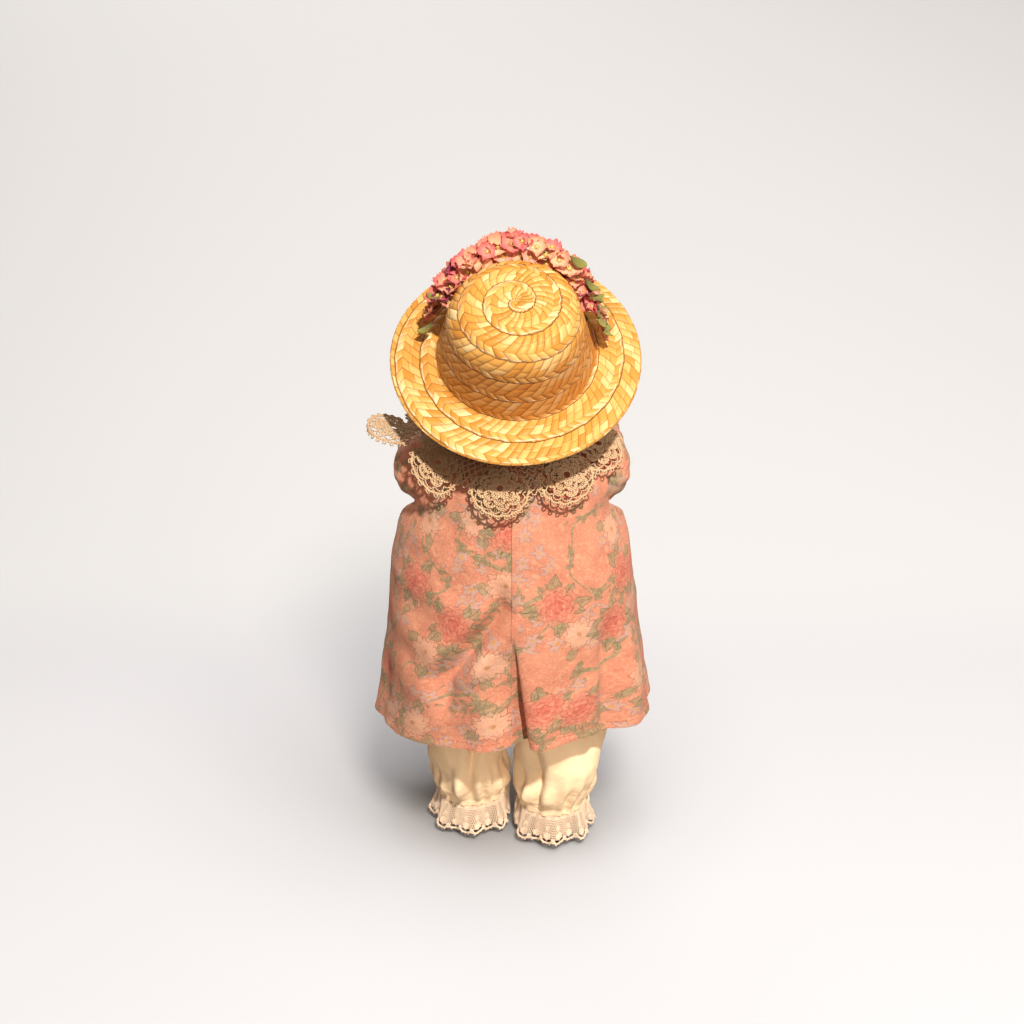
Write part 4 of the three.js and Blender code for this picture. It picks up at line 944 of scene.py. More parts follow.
def dress_shape(u, v):
    k = np.interp(v * DRESS_DROP, dress_run, dress_k)
    w, d, z = rows_at(DRESS_ROWS, k).T
    turn, lap = lapped_fold(-TAU * u + np.where(u > 0.5, TAU, 0), w, z)
    t = np.pi / 2 + turn
    x, y = w * np.cos(t), d * np.sin(t)
    back = smooth(y / d, 0.15, 0.5)
    push = lap + back * 4.0 * smooth(217 - z, 0, 40) * np.exp(-((x - 22) / 9) ** 2)
    # The slanting hollow on the left of the seam
    slant_x = 8 + 42 * np.clip((222 - z) / 58, 0, 1)
    low = np.sin(np.pi * np.clip((244 - z) / 112, 0, 1))
    push -= back * 13 * low * np.exp(-((x - slant_x) / 7.5) ** 2)
    push += back * low * (3.5 * np.exp(-((x - slant_x + 17) / 9) ** 2) + 4 * np.exp(-((x - slant_x - 15) / 8) ** 2))
    # Upright folds near the doll's right side
    push -= back * 7 * smooth(222 - z, 0, 40) * np.exp(-((x + 70) / 6) ** 2)
    push += back * 3.5 * smooth(215 - z, 0, 40) * np.exp(-((x + 84) / 7) ** 2)
    # Soft flutes all round, stronger at the hem
    angle = np.arctan2(y / d, x / w)
    flare = smooth(250 - z, 0, 143)
    front = 1 - back
    push += flare * 2.6 * np.cos(7 * angle + 0.6) * (0.45 + 0.55 * front)
    push += flare * 1.4 * front * np.cos(13 * angle + 1.0)
    push += flare * 5 * smooth(-x / w, 0.5, 1)
    # Slack in the cloth across the back and small crumples
    slack = back * np.sin((z - 0.35 * x) * 0.16) * np.sin(np.pi * np.clip((300 - z) / 190, 0, 1))
    push += slack * (x > 10) * smooth(x, 10, 40)
    push += 1.9 * crumple(x, y, z, 34.0, 3.0) + 0.9 * crumple(x, y, z, 13.0, 9.0)
    to_hem = (1 - v) * DRESS_DROP
    push += 0.7 * smooth(6.4 - to_hem, 0, 1.5) - 0.7 * np.exp(-((to_hem - 7) / 1.2) ** 2)
    # Gathers that run down from the neck
    push += 0.8 * np.cos(46 * t) * (1 - smooth(326 - z, 6, 42)) * smooth(328 - z, 1, 8)
    size = np.hypot(w * np.cos(angle), d * np.sin(angle))
    f = 1 + push / size
    beside = smooth(np.abs(x) / w, 0.28, 0.6) * smooth(z, 198, 246) * smooth(-y / d, 0, 0.3)
    dip = -7 * smooth(-y / d, 0.1, 1) * np.clip(1 - k / 3, 0, 1)
    drop = smooth(180 - z, 0, 73)
    z2 = z + dip + (5 * (y / d) - 0.06 * x) * drop
    pinch = 1 - 0.07 * np.exp(-((z - 284) / 13) ** 2) * smooth(np.abs(x) / w, 0.5, 0.95)
    return x * f * pinch, y * f * (1 - 0.44 * beside), z2


DRESS_WIDE = TAU * 78
dress = sheet_from_grid("printed_dress", 330, 130, dress_shape, (DRESS_WIDE, DRESS_DROP))
face_outwards(dress)


SHOULDER = np.array([62.0, 0, 305])  # where the left arm turns


def in_arm_sweep(p):
    """How deep each point lies in the space that the arms swing through, in mm."""
    deepest = np.full(len(p), -99.0)
    for side in SIDES:
        start = SHOULDER * [side, 1, 1]
        for sweep in (0, 12.5, 25):
            a = math.radians(16 + sweep)
            way = np.array([side * 3.0, -50 * math.cos(a), -50 * math.sin(a)])
            along = (p - start) @ way / (way @ way)
            away = np.linalg.norm(p - start - np.clip(along, 0, 1)[:, None] * way, axis=1)
            deepest = np.maximum(deepest, np.where(along > 1, -99, 24.2 - away))
    return deepest


def press_in(piece):
    """Presses the cloth in towards the body wherever an arm would swing through it."""
    body = bpy.data.objects["trunk_shell"]
    trunk = BVHTree.FromObject(body, bpy.context.evaluated_depsgraph_get())
    inward = body.matrix_world.inverted()
    p = points_of(piece)
    ways = -p * (1, 1, 0) / np.linalg.norm(p[:, :2], axis=1)[:, None]
    for k in np.nonzero(in_arm_sweep(p) > 0)[0]:
        hit = trunk.ray_cast(inward @ place_of(*p[k]), inward.to_3x3() @ Vector(ways[k]))[3]
        free = np.nonzero(in_arm_sweep(p[k] + ways[k] * np.arange(0, 70, 0.5)[:, None]) <= 0)[0]
        go = min(free[0] * 0.5 if len(free) else 70, 70 if hit is None else hit / MM - 1.7)
        p[k] += ways[k] * max(go, 0)
    set_points(piece, p)


press_in(dress)
near = in_arm_sweep(points_of(dress)) > -5
for vertex, on in zip(dress.data.vertices, near):
    vertex.select = bool(on)
edit(dress, bpy.ops.mesh.vertices_smooth, everything=False, factor=0.5, repeat=3)
thicken(dress, 0.9)


def cut_away(piece, cutters):
    """Cuts the cutters' forms out of a closed piece."""
    for cutter in cutters:
        hole = piece.modifiers.new("hole", "BOOLEAN")
        hole.operation = "DIFFERENCE"
        hole.solver = "MANIFOLD"
        hole.object = cutter
        apply_all(piece)
        bpy.data.objects.remove(cutter)


def ball(x, y, z, r, segments):
    bpy.ops.object.select_all(action="DESELECT")
    bpy.ops.mesh.primitive_uv_sphere_add(segments=segments, ring_count=segments // 2, radius=r * MM,
                                         location=place_of(x, y, z))
    piece = bpy.context.object
    bpy.ops.object.transform_apply()
    return piece


def rod(a, b, ra, rb, segments=48):
    """A tapered round bar between two points in mm."""
    start, end = place_of(*a), place_of(*b)
    bpy.ops.object.select_all(action="DESELECT")
    bpy.ops.mesh.primitive_cone_add(vertices=segments, radius1=ra * MM, radius2=rb * MM,
                                    depth=(end - start).length, location=(start + end) / 2)
    piece = bpy.context.object
    piece.rotation_mode = "QUATERNION"
    piece.rotation_quaternion = (end - start).to_track_quat("Z", "Y")
    bpy.ops.object.transform_apply()
    return piece


cut_away(dress, [rod((side * 28, 0, 305), (side * 68, 0, 305), 18, 18) for side in SIDES])
only(dress)
bpy.ops.object.shade_smooth_by_angle(angle=math.radians(50))
dress_in(dress, FLORAL, "torso", "dress", slot="printed_cotton")
HEM_STITCHES = 160
stitches = []
for k in range(HEM_STITCHES):
    u = (k + np.linspace(0.1, 0.75, 4)) / HEM_STITCHES
    points = np.stack(dress_shape(u, np.full(4, 1 - 6.6 / DRESS_DROP)), axis=1)
    outwards = points * [1, 1.4, 0]
    outwards /= np.linalg.norm(outwards, axis=1)[:, None]
    stitches.append((points + outwards * 0.5, outwards, 0.32, False))
hem_stitches = tubes("hem_stitches", stitches, 4)
SEWING_THREAD = thread("salmon_sewing_thread", "#E09A84", "#B86F5C", 1.2, 0.1)
dress_in(hem_stitches, SEWING_THREAD, "torso", slot="printed_cotton")
print("dress:", len(dress.data.polygons), "faces, cut", round(DRESS_WIDE), "by", round(DRESS_DROP), "mm")


# %% [markdown]
# Sleeves, arms, shoes and the head are full, round forms. They are built up from balls and tapered bars,
# like clay on a wire, then a voxel remesh fuses them into one skin and smoothing takes out the joins.

# %% Helper for fused forms
def fused(name, balls=(), bars=(), voxel=1.2, soften=8, extra=()):
    """A skin over balls (x, y, z, radius) and bars (start, end, and the radius at each), in mm."""
    parts = [*extra, *(ball(*b, segments=24) for b in balls), *(rod(*b, segments=24) for b in bars)]
    piece = joined(parts)
    piece.name = name
    remesh = piece.modifiers.new("fuse", "REMESH")
    remesh.mode = "VOXEL"
    remesh.voxel_size = voxel * MM
    even = piece.modifiers.new("soften", "SMOOTH")
    even.factor = 0.5
    even.iterations = soften
    apply_all(piece)
    bpy.ops.object.shade_smooth()
    return piece


def slice_off(piece, at, facing):
    """Cuts a piece open with a plane and removes what lies on its facing side."""
    edit(piece, bpy.ops.mesh.bisect, plane_co=place_of(*at), plane_no=Vector(facing), clear_outer=True)


def along_path(points, path):
    """For each point: how far along the path it lies in mm, and its angle round it."""
    path = np.asarray(path, float)
    best = np.full(len(points), 1e9)
    run, turn = np.zeros(len(points)), np.zeros(len(points))
    gone = 0.0
    for a, b in zip(path[:-1], path[1:]):
        d = b - a
        length = np.linalg.norm(d)
        d /= length
        s = np.clip((points - a) @ d, 0, length)
        off = points - a - np.outer(s, d)
        near = np.linalg.norm(off, axis=1)
        ref = np.cross(d, [1.0, 0, 0])
        ref /= np.linalg.norm(ref)
        other = np.cross(d, ref)
        closer = near < best
        best[closer] = near[closer]
        run[closer] = (gone + s)[closer]
        turn[closer] = np.arctan2(off @ other, off @ ref)[closer]
        gone += length
    return run, turn


def lay_print(piece, run, turn, radius, flat_part):
    """Writes a UV map: round and along a sleeve, or straight from behind where flat_part is true."""
    mesh = piece.data
    layer = mesh.uv_layers.new(name="UVMap") if not mesh.uv_layers else mesh.uv_layers[0]
    layer.name = "UVMap"
    points = points_of(piece)
    uv = np.zeros((len(mesh.loops), 2))
    for face in mesh.polygons:
        index = list(face.vertices)
        if flat_part(points[index].mean(0)):
            uv[face.loop_start:face.loop_start + len(index)] = points[index][:, [0, 2]] + [40, 0]
            continue
        a = turn[index]
        a = np.where(a - a[0] > np.pi, a - TAU, np.where(a - a[0] < -np.pi, a + TAU, a))
        uv[face.loop_start:face.loop_start + len(index)] = np.stack([a * radius, run[index]], axis=1)
    layer.data.foreach_set("uv", uv.ravel())


# %% [markdown]
# The sleeves are full at the shoulder, gathered at the wrist and creased at the elbow. They ride on the
# arms, so they are pieces of their own, and the dress leaves them room at the shoulder.

# %% Sleeves
SLEEVE_PATH = np.array([[62, 20, 305], [62, 0, 305], [64, -28, 298], [65, -50, 291.5], [62, -68, 299],
                        [45, -73, 329]])
SLEEVE_R = [23.2, 22.6, 21.6, 21.2, 20.4, 15.0]
CUFF = np.array([45, -73, 329.0])
CUFF_WAY = np.array([38, -73, 342.0]) - np.array([52, -71, 315.0])
CUFF_WAY /= np.linalg.norm(CUFF_WAY)


def shoulder_block(side, to_x):
    """A block that fills the space beside the trunk, to cut a limb flat where it turns."""
    bpy.ops.object.select_all(action="DESELECT")
    bpy.ops.mesh.primitive_cube_add(size=80 * MM, location=place_of(side * (to_x - 40), 0, 305))
    piece = bpy.context.object
    bpy.ops.object.transform_apply()
    return piece


def sleeve(side):
    p = SLEEVE_PATH * [side, 1, 1]
    bars = [(p[i], p[i + 1], SLEEVE_R[i], SLEEVE_R[i + 1]) for i in range(1, 5)]
    balls = [(*p[i], SLEEVE_R[i]) for i in range(1, 5)]
    end = p[5] + (p[5] - p[4]) / np.linalg.norm(p[5] - p[4]) * 6
    bars.append((p[5], end, SLEEVE_R[5], 13.2))
    p = rows_at(p, np.linspace(0, 5, 60))
    word = SIDES[side]
    piece = fused(f"printed_sleeve_{word}", balls, bars, voxel=1.3, soften=6)
    points, normals = points_of(piece), vectors_of(piece.data.vertices, "normal")
    run, turn = along_path(points, p)
    x, y, z = points.T
    creases = np.exp(-((run - 86) / 16) ** 2) * 0.9 * np.sin(run * 0.8 + 1.5 * np.sin(turn))
    gathers = 0.9 * np.cos(13 * turn) * smooth(run, 112, 124)
    gathers += 0.6 * np.cos(11 * turn) * np.exp(-((run - 12) / 9) ** 2)
    soft = 1.3 * crumple(x, y, z, 19.0, 5.0) + 0.5 * crumple(x, y, z, 8.0, 1.0)
    set_points(piece, points + normals * (creases + gathers + soft)[:, None] - normals * 0.3)
    cut_away(piece, [shoulder_block(side, 50.4)])
    run, turn = along_path(points_of(piece), p)
    lay_print(piece, run, turn, 20.5, lambda c: c[1] > -6)
    slice_off(piece, (CUFF + CUFF_WAY * 3) * [side, 1, 1], CUFF_WAY * [side, 1, 1])
    thicken(piece, 0.9)
    dress_in(piece, FLORAL, f"arm_{word}", f"sleeve_{word}", slot="printed_cotton")
    return piece


sleeves = [sleeve(side) for side in SIDES]
print("sleeves:", [len(s.data.polygons) for s in sleeves])


# %% [markdown]
# Bloomers: full legs of washed cotton, loose below the hem of the dress and gathered on an elastic at
# the ankle. Each is one grid wrapped round the leg, with slanting pulls where the cloth is caught up.

# %% Bloomers
HIP_Z, LEG_LEAN, GATHER_Z = 168, 8, 28
HEM_R = 26.2
ANKLE_X = 31.2


def lean(side, z):
    return -side * LEG_LEAN * (1 - z / HIP_Z)


def bloomers_leg(side):
    full = 1 if side < 0 else 0
    rows = np.array([
        [29.4, 32, 151, 31.4], [30 + 3 * full, 34, 115, 31.5 + 3 * full],
        [29 + 6.2 * full, 33, 82, 33 + 3 * full], [29.4 + 3.4 * full, 32.2, 60, 33 + full],
        [30.2 + full, 31.6, 46, 32], [28.6, 28.8, 38, 31.4], [HEM_R, HEM_R, GATHER_Z + 5, ANKLE_X],
        [HEM_R - 0.3, HEM_R - 0.3, GATHER_Z, ANKLE_X],
    ])

    def shape(u, v):
        t = np.pi / 2 + TAU * u
        w, d, z, cx = rows_at(rows, v * (len(rows) - 1)).T
        near = smooth(78 - z, 0, 44)
        gathers = near * (1.4 * np.cos(15 * t + 1.1 * np.sin(3 * t)) + 0.5 * np.cos(24 * t + 1))
        gathers = gathers * (0.5 + smooth(z, 28, 44))
        pull = 3.3 * np.sin(2 * t + z * 0.075 + side) * smooth(150 - z, 0, 60) * smooth(z, 36, 70)
        pull += 2.3 * np.sin(3 * t - z * 0.11 + 2) * smooth(z, 34, 60) * smooth(130 - z, 0, 40)
        at, behind = w * np.cos(t), smooth(np.sin(t), 0.2, 0.6) * smooth(z, 30, 44)
        tuck = 2 + 12 * full + 0.12 * (z - 60)
        pull -= behind * 4.8 * np.exp(-(np.abs(side * at + tuck) / 3.4) ** 1.5)
        pull += behind * 3.2 * np.exp(-((side * at + tuck - 8) / 5) ** 2)
        pull += behind * 1.8 * np.exp(-((side * at + tuck + 8) / 5) ** 2)
        x, y = w * np.cos(t), d * np.sin(t)
        soft = 2.0 * crumple(side * x, y, z, 21.0, side * 4.0) + 0.9 * crumple(x, y, z, 9.0, 2.0)
        soft = smooth(z, 34, 46) * soft
        f = 1 + (gathers + pull + soft) / np.hypot(x, y)
        px = side * cx + x * f
        px = side * np.maximum(side * px, 0.9)
        return px, lean(side, z) + y * f, z

    word = SIDES[side]
    piece = sheet_from_grid(f"bloomers_{word}", 150, 90, shape, (205, 128))
    face_outwards(piece, (side * 32, 0, 85))
    thicken(piece, 0.8)
    dress_in(piece, CREAM, f"leg_{word}", f"bloomers_leg_{word}", slot="cream_cotton")
    return piece


bloomers = [bloomers_leg(side) for side in SIDES]


def seat_shape(u, v):
    t = TAU * u
    w, d, z = rows_at([[49.8, 38.5, 213], [51.4, 40, 205], [57, 46, 194], [60.5, 49, 183]], v * 3).T
    f = 1 + 0.014 * np.cos(24 * t)
    return w * np.cos(t) * f, d * np.sin(t) * f, z


bloomers_seat = sheet_from_grid("bloomers_seat", 120, 16, seat_shape, (340, 33))
face_outwards(bloomers_seat)
thicken(bloomers_seat, 0.8)
dress_in(bloomers_seat, CREAM, "torso", "bloomers_waist", slot="cream_cotton")
print("bloomers:", [len(b.data.polygons) for b in bloomers])


# %% [markdown]
# The crochet collar. Ten roses are worked first, each in rounds: a ring, three rounds of petals that stand
# on rows of upright stitches, then rounds of chain loops and a picot edge. The roses are joined, and more
# loops are worked up to the neck. Every thread is a tube laid on the shoulders, so the holes are open.

# %% Where the collar lies
ROSES = 10
ROSE_AT = np.radians(84)  # the rose at the back, counted round from the doll's left
COLLAR_OFF = 1.9
NECK_ROWS = DRESS_ROWS[:7]


def collar_place(t, reach, lift):
    """A point on the collar: t goes round the neck, reach from the neckline (0) to the edge (about 1)."""
    c, s = np.cos(t), np.sin(t)
    w, d, z = rows_at(NECK_ROWS, reach * 5).T
    up_share = np.maximum(0, 1 - reach * 0.9)
    over_sleeve = np.abs(c) ** 3 * smooth(reach, 0.1, 0.45)
    left = smooth(c, 0.5, 0.97) * smooth(reach, 0.3, 0.8)
    stand = 10 * smooth(s, 0.1, 0.6) * smooth(reach, 0.5, 1.05)
    off = COLLAR_OFF + lift
    r = off * (1 - up_share) + 19 * left + stand
    dip = -7 * smooth(-s, 0.1, 1) * np.maximum(0, 1 - reach * 5 / 3)
    high = off * up_share + 1.2 + 9.5 * over_sleeve + 23 * left + 0.25 * stand + dip
    return np.stack([(w + r + 4 * over_sleeve) * c, (d + r) * s, z + high], axis=1)


def collar_edge(t):
    """How far out the collar reaches: less at the shoulders, and little in front beside the raised arms."""
    lobe = np.abs(np.cos(ROSES / 2 * (t - ROSE_AT)))
    s = np.sin(t)
    front = smooth(-s, 0.15, 0.45) * (1 - smooth(-s, 0.8, 0.95))
    sideways = np.cos(t) ** 2
    left = smooth(np.cos(t), 0.6, 1)
    return (0.97 - 0.31 * sideways) * (0.86 + 0.14 * lobe) - 0.3 * front + 0.1 * left


REACHES = np.linspace(0.03, 1.12, 80)
TURNS = np.linspace(0, TAU, 361)
collar_run = []
for t in TURNS:
    line = collar_place(np.full(80, t), REACHES, 0.0)
    collar_run.append(np.concatenate([[0], np.cumsum(np.linalg.norm(np.diff(line, axis=0), axis=1))]))
collar_run = np.array(collar_run)


def reach_at(t, s):
    """The reach that lies s mm out from the neckline at angle t."""
    k = np.clip(np.mod(t, TAU) / TAU * 360, 0, 359.999)
    i = k.astype(int)
    f = k - i
    a = np.array([np.interp(d, collar_run[n], REACHES) for n, d in zip(i, s)])
    b = np.array([np.interp(d, collar_run[n + 1], REACHES) for n, d in zip(i, s)])
    return a * (1 - f) + b * f


def run_at(t, reach):
    i = int(round((t % TAU) / TAU * 360))
    return float(np.interp(reach, REACHES, collar_run[i]))


rose_turns = ROSE_AT + TAU * np.arange(ROSES) / ROSES
rose_runs = np.array([run_at(t, float(collar_edge(np.array([t]))[0])) for t in rose_turns])
ROSE_R = 19.5


def stretch_at(t, reach):
    """mm round the collar for one radian, at a place."""
    a = collar_place(np.array([t - 0.01]), np.array([reach]), 0.0)
    b = collar_place(np.array([t + 0.01]), np.array([reach]), 0.0)
    return float(np.linalg.norm(b - a) / 0.02)


rose_stretch = np.array([stretch_at(t, float(reach_at(np.array([t]), np.array([max(s - ROSE_R, 4)]))[0]))
                         for t, s in zip(rose_turns, rose_runs)])
rose_size = np.minimum(1.0, rose_runs / 44)
print("collar reaches", [round(s) for s in rose_runs], "mm from the neck")
print("roses every", round(rose_stretch.mean() * TAU / ROSES), "mm")


def lay(i, a, b, lift):
    """From a rose's own flat plan, mm across and mm outwards, to the shoulders."""
    centre = rose_runs[i] - ROSE_R * rose_size[i] + 1.0
    t = rose_turns[i] + a / rose_stretch[i]
    return collar_place(t, reach_at(t, np.maximum(centre + b, 0.5)), lift)


# %% Roses, net and picots
THREAD_MM = 0.5
collar_threads = []


def work(i, rho, phi, lift, radius, closed=False):
    size = rose_size[i]
    points = lay(i, size * rho * np.cos(phi), size * rho * np.sin(phi), lift)
    if closed:
        near = np.roll(points, -1, 0) - np.roll(points, 1, 0)
    else:
        near = np.gradient(points, axis=0)
    inner = lay(i, size * rho * np.cos(phi), size * rho * np.sin(phi), lift - 1.0)
    collar_threads.append((points, points - inner + 1e-4 * near, radius, closed))


stitch = random.Random(3)
for i in range(ROSES):
    spin = stitch.uniform(0, 6)
    turn = np.linspace(0, TAU, 22, endpoint=False)
    work(i, np.full(22, 2.9), turn, np.full(22, 1.7), 0.75, True)
    work(i, np.full(22, 4.2), turn, np.full(22, 2.0), 0.6, True)
    for petals, low, high, top in ((6, 4.6, 7.6, 2.1), (7, 7.8, 11.2, 1.5), (9, 11.4, 15.0, 0.9)):
        for k in range(petals):
            start, end = spin + TAU * k / petals, spin + TAU * (k + 1) / petals
            n = max(8, int((end - start) * high / 1.1))
            x = np.linspace(0, 1, n)
            arch = np.sin(np.pi * x) ** 0.55
            rho = low + (high - low) * arch
            phi = start + (end - start) * x
            work(i, rho, phi, top + 0.5 * arch, 0.62)
            work(i, rho - 1.15 * arch, phi, top + 0.75 * arch, 0.5)
            posts = max(4, int((end - start) * (low + high) / 2 / 1.25))
            for m in range(1, posts):
                f = m / posts
                tip = low + (high - low) * math.sin(math.pi * f) ** 0.55 - 0.4
                if tip - low > 0.8:
                    rho_post = np.linspace(low - 0.3, tip, 4)
                    bend = 0.05 * np.sin(np.pi * np.linspace(0, 1, 4)) * stitch.uniform(-1, 1)
                    arched = top + 0.3 * np.sin(np.pi * np.linspace(0.1, 0.9, 4))
                    work(i, rho_post, np.full(4, start + (end - start) * f) + bend, arched, 0.46)
        spin += math.pi / petals
    for row, (loops, rho0) in enumerate(((15, 15.2), (17, 17.4))):
        for k in range(loops):
            x = np.linspace(0, 1, 8)
            phi = spin + TAU * (k + (row % 2) / 2 + x) / loops
            rho = rho0 + 2.3 * np.sin(np.pi * x) ** 0.7
            outwards = math.sin(float(phi[4]))
            if row == 1 and outwards < -0.35:
                continue
            work(i, rho, phi, 0.4 + 0.35 * np.sin(np.pi * x), THREAD_MM)
    rim = np.linspace(-0.3, np.pi + 0.3, 46)
    work(i, 19.0 + 0.3 * np.sin(rim * 17), rim, np.full(46, 0.5), 0.75)
    for k in range(15):
        phi0 = -0.25 + (math.pi + 0.5) * (k + 0.5) / 15
        x = np.linspace(0, TAU, 8, endpoint=False)
        work(i, 20.3 + 1.15 * np.cos(x), phi0 + 1.15 * np.sin(x) / 20.3, np.full(8, 0.5), 0.5, True)


def net_row(s0, loop_mm, depth, shift):
    """One round of chain loops, s0 mm from the neck, broken where a rose is in the way."""
    mean = np.mean([stretch_at(t, float(reach_at(np.array([t]), np.array([s0]))[0])) for t in rose_turns])
    loops = int(TAU * mean / loop_mm)
    t = np.linspace(0, TAU, loops * 7 + 1)
    swing = np.abs(np.sin(loops / 2 * (t + shift * TAU / loops)))
    s = s0 + depth * swing
    near = np.full(len(t), 99.0)
    for i in range(ROSES):
        a = (np.mod(t - rose_turns[i] + np.pi, TAU) - np.pi) * rose_stretch[i]
        b = s - (rose_runs[i] - ROSE_R * rose_size[i] + 1.0)
        near = np.minimum(near, np.hypot(a, b) / rose_size[i])
    limit = np.array([run_at(v, r) for v, r in zip(t, collar_edge(t))])
    keep = (near > 17.3) & (s < limit - 1.0)
    points = collar_place(t, reach_at(t, s), 0.3 + 0.4 * swing)
    below = collar_place(t, reach_at(t, s), -0.7 + 0.4 * swing)
    edges = np.flatnonzero(np.diff(np.concatenate([[0], keep.astype(int), [0]])))
    for first, last in zip(edges[::2], edges[1::2]):
        if last - first > 4:
            collar_threads.append((points[first:last], (points - below)[first:last], THREAD_MM, False))


for k in range(11):
    net_row(3.0 + 3.3 * k, 4.3, 3.5, (k % 2) / 2)
for s0, radius in ((1.0, 0.8), (2.5, 0.6)):
    t = np.linspace(0, TAU, 160, endpoint=False)
    s = np.full(160, s0) + 0.25 * np.sin(t * 80)
    line = collar_place(t, reach_at(t, s), 0.4)
    collar_threads.append((line, line - collar_place(t, reach_at(t, s), -0.6), radius, True))
collar = tubes("crochet_collar", collar_threads, 5)
dress_in(collar, CROCHET, "torso", "collar", slot="crochet")
print("collar:", len(collar_threads), "threads,", len(collar.data.polygons), "faces")


# %% [markdown]
# Bobbin lace. The ankle frills and the cuffs are strips of cotton lace, gathered on the elastic. A strip
# is worked flat, as threads: a header, a diagonal net, and along its edge a row of scallops, each with a
# petal motif of closely laid threads. The flat strip is then mapped on to the waves of the frill.

# %% Lace frills
def lace_strip(length, deep, motif_mm, net_mm, fine):
    """Threads of a flat strip: a list of (u in mm, v in mm, lift, radius), v running from header to edge."""
    threads = []
    repeats = int(round(length / motif_mm))
    step = length / repeats
    edge_v = deep - 5.0
    for v0, r in ((0.6, fine * 1.7), (2.0, fine * 1.2)):
        u = np.linspace(0, length, int(length / 1.6))
        threads.append((u, v0 + 0.15 * np.sin(u * 2.2), np.full_like(u, 0.1), r))
    for direction in (1, -1):
        for k in range(-int(deep / net_mm) - 1, int(length / net_mm) + 2):
            v = np.linspace(1.2, edge_v + 1.0, 7)
            u = k * net_mm + direction * (v - 1.2) * 0.62 + (0 if direction > 0 else net_mm / 2)
            u = u + 0.12 * np.sin(v * 3)
            inside = (u >= 0) & (u <= length)
            if inside.sum() > 2:
                threads.append((u[inside], v[inside], np.full(inside.sum(), 0.06 * direction), fine))
    for k in range(repeats):
        mid = (k + 0.5) * step
        a = np.linspace(0, np.pi, 15)
        half = step * 0.47
        for grow, radius in ((1.0, fine * 1.9), (0.86, fine * 1.1)):
            v = edge_v + 4.6 * grow * np.sin(a) ** 0.8
            threads.append((mid - half * grow * np.cos(a), v, 0.15 + 0 * a, radius))
        for m in range(7):
            phi = math.radians(-72 + 24 * m)
            reach = 4.4 if m % 2 else 3.7
            x = np.linspace(0, 1, 5)
            for side in (-1, 0, 1):
                swell = side * 0.55 * np.sin(np.pi * x)
                u = mid + (1.0 + reach * x) * math.sin(phi) * 0.95 + swell * math.cos(phi)
                v = edge_v - 2.6 + (1.0 + reach * x) * math.cos(phi) - swell * math.sin(phi)
                threads.append((u, v, 0.2 + 0.15 * np.sin(np.pi * x), fine * 1.45))
        ring = np.linspace(0, TAU, 9)
        threads.append((mid + 0.9 * np.cos(ring), edge_v - 2.6 + 0.9 * np.sin(ring), 0.3 + 0 * ring, fine * 1.7))
        for m in range(3):
            x = np.linspace(-1, 1, 6)
            v = edge_v - 6.2 - 1.1 * m + 0.9 * x ** 2
            threads.append((mid + x * (2.6 - 0.3 * m), v, 0.12 + 0 * x, fine * 1.5))
        for m in range(5):
            phi = math.radians(-60 + 30 * m)
            loop = np.linspace(0, TAU, 6)
            centre_u = mid + (half + 0.75) * math.sin(phi)
            centre_v = edge_v + 5.1 * max(math.cos(phi), 0.0) ** 0.8
            threads.append((centre_u + 0.6 * np.cos(loop), centre_v + 0.6 * np.sin(loop), 0.1 + 0 * loop, fine * 1.1))
    return threads


def gather(name, strip, length, frill):
    """Lays a flat strip on a frill: frill(turn 0 to 1, v in mm, lift in mm) gives points in mm."""
    strands = []
    for u, v, lift, radius in strip:
        points = frill(u / length, v, lift)
        inner = frill(u / length, v, lift - 0.6)
        strands.append((points, points - inner, radius, False))
    return tubes(name, strands, 4)


ANKLE_LACE_DROP, CUFF_LACE_DROP = 21.5, 13.6
ANKLE_LACE_RUN, CUFF_LACE_RUN = 300, 130


def ankle_frill(side):
    def place(turn, v, lift):
        a = TAU * turn - np.pi / 2
        k = np.clip(v / ANKLE_LACE_DROP, 0, 1)
        front = smooth(-np.sin(a), 0.1, 0.9)
        wave = 3.0 * k ** 0.8 * np.cos(8 * a + 0.5 * np.sin(2 * a)) + 1.1 * k * np.cos(19 * a + 1.0)
        r = (25.2 + 6.3 * k) * (1 + 0.18 * front * k) + wave + lift
        r = r + 0.7 * np.cos(27 * a) * (1 - k)
        x, y = r * np.cos(a), r * np.sin(a)
        z = GATHER_Z - 0.3 - v * (1 - front * 0.9 * k) + 0.6 * k * np.sin(5 * a)
        px = side * ANKLE_X + x
        close = side * px
        px = np.where(close < 2.6, side * (0.9 + (close + 7) * 0.18), px)
        return np.stack([px, lean(side, GATHER_Z) + y, np.maximum(z, 4.2)], axis=1)
    return place


def cuff_frill(side):
    along = CUFF_WAY * [side, 1, 1]
    start = CUFF * [side, 1, 1] + along * 2.6
    across = np.cross(along, [0, 1, 0])
    across /= np.linalg.norm(across)
    third = np.cross(along, across)

    def place(turn, v, lift):
        a = TAU * turn
        k = np.clip(v / 14, 0, 1)
        r = 13.8 + 4.4 * k + 1.7 * k * np.cos(8 * a) + 0.6 * k * np.cos(17 * a) + lift
        flat = np.outer(r * np.cos(a), across) + np.outer(r * np.sin(a), third)
        return start + flat + np.outer(v, along)
    return place


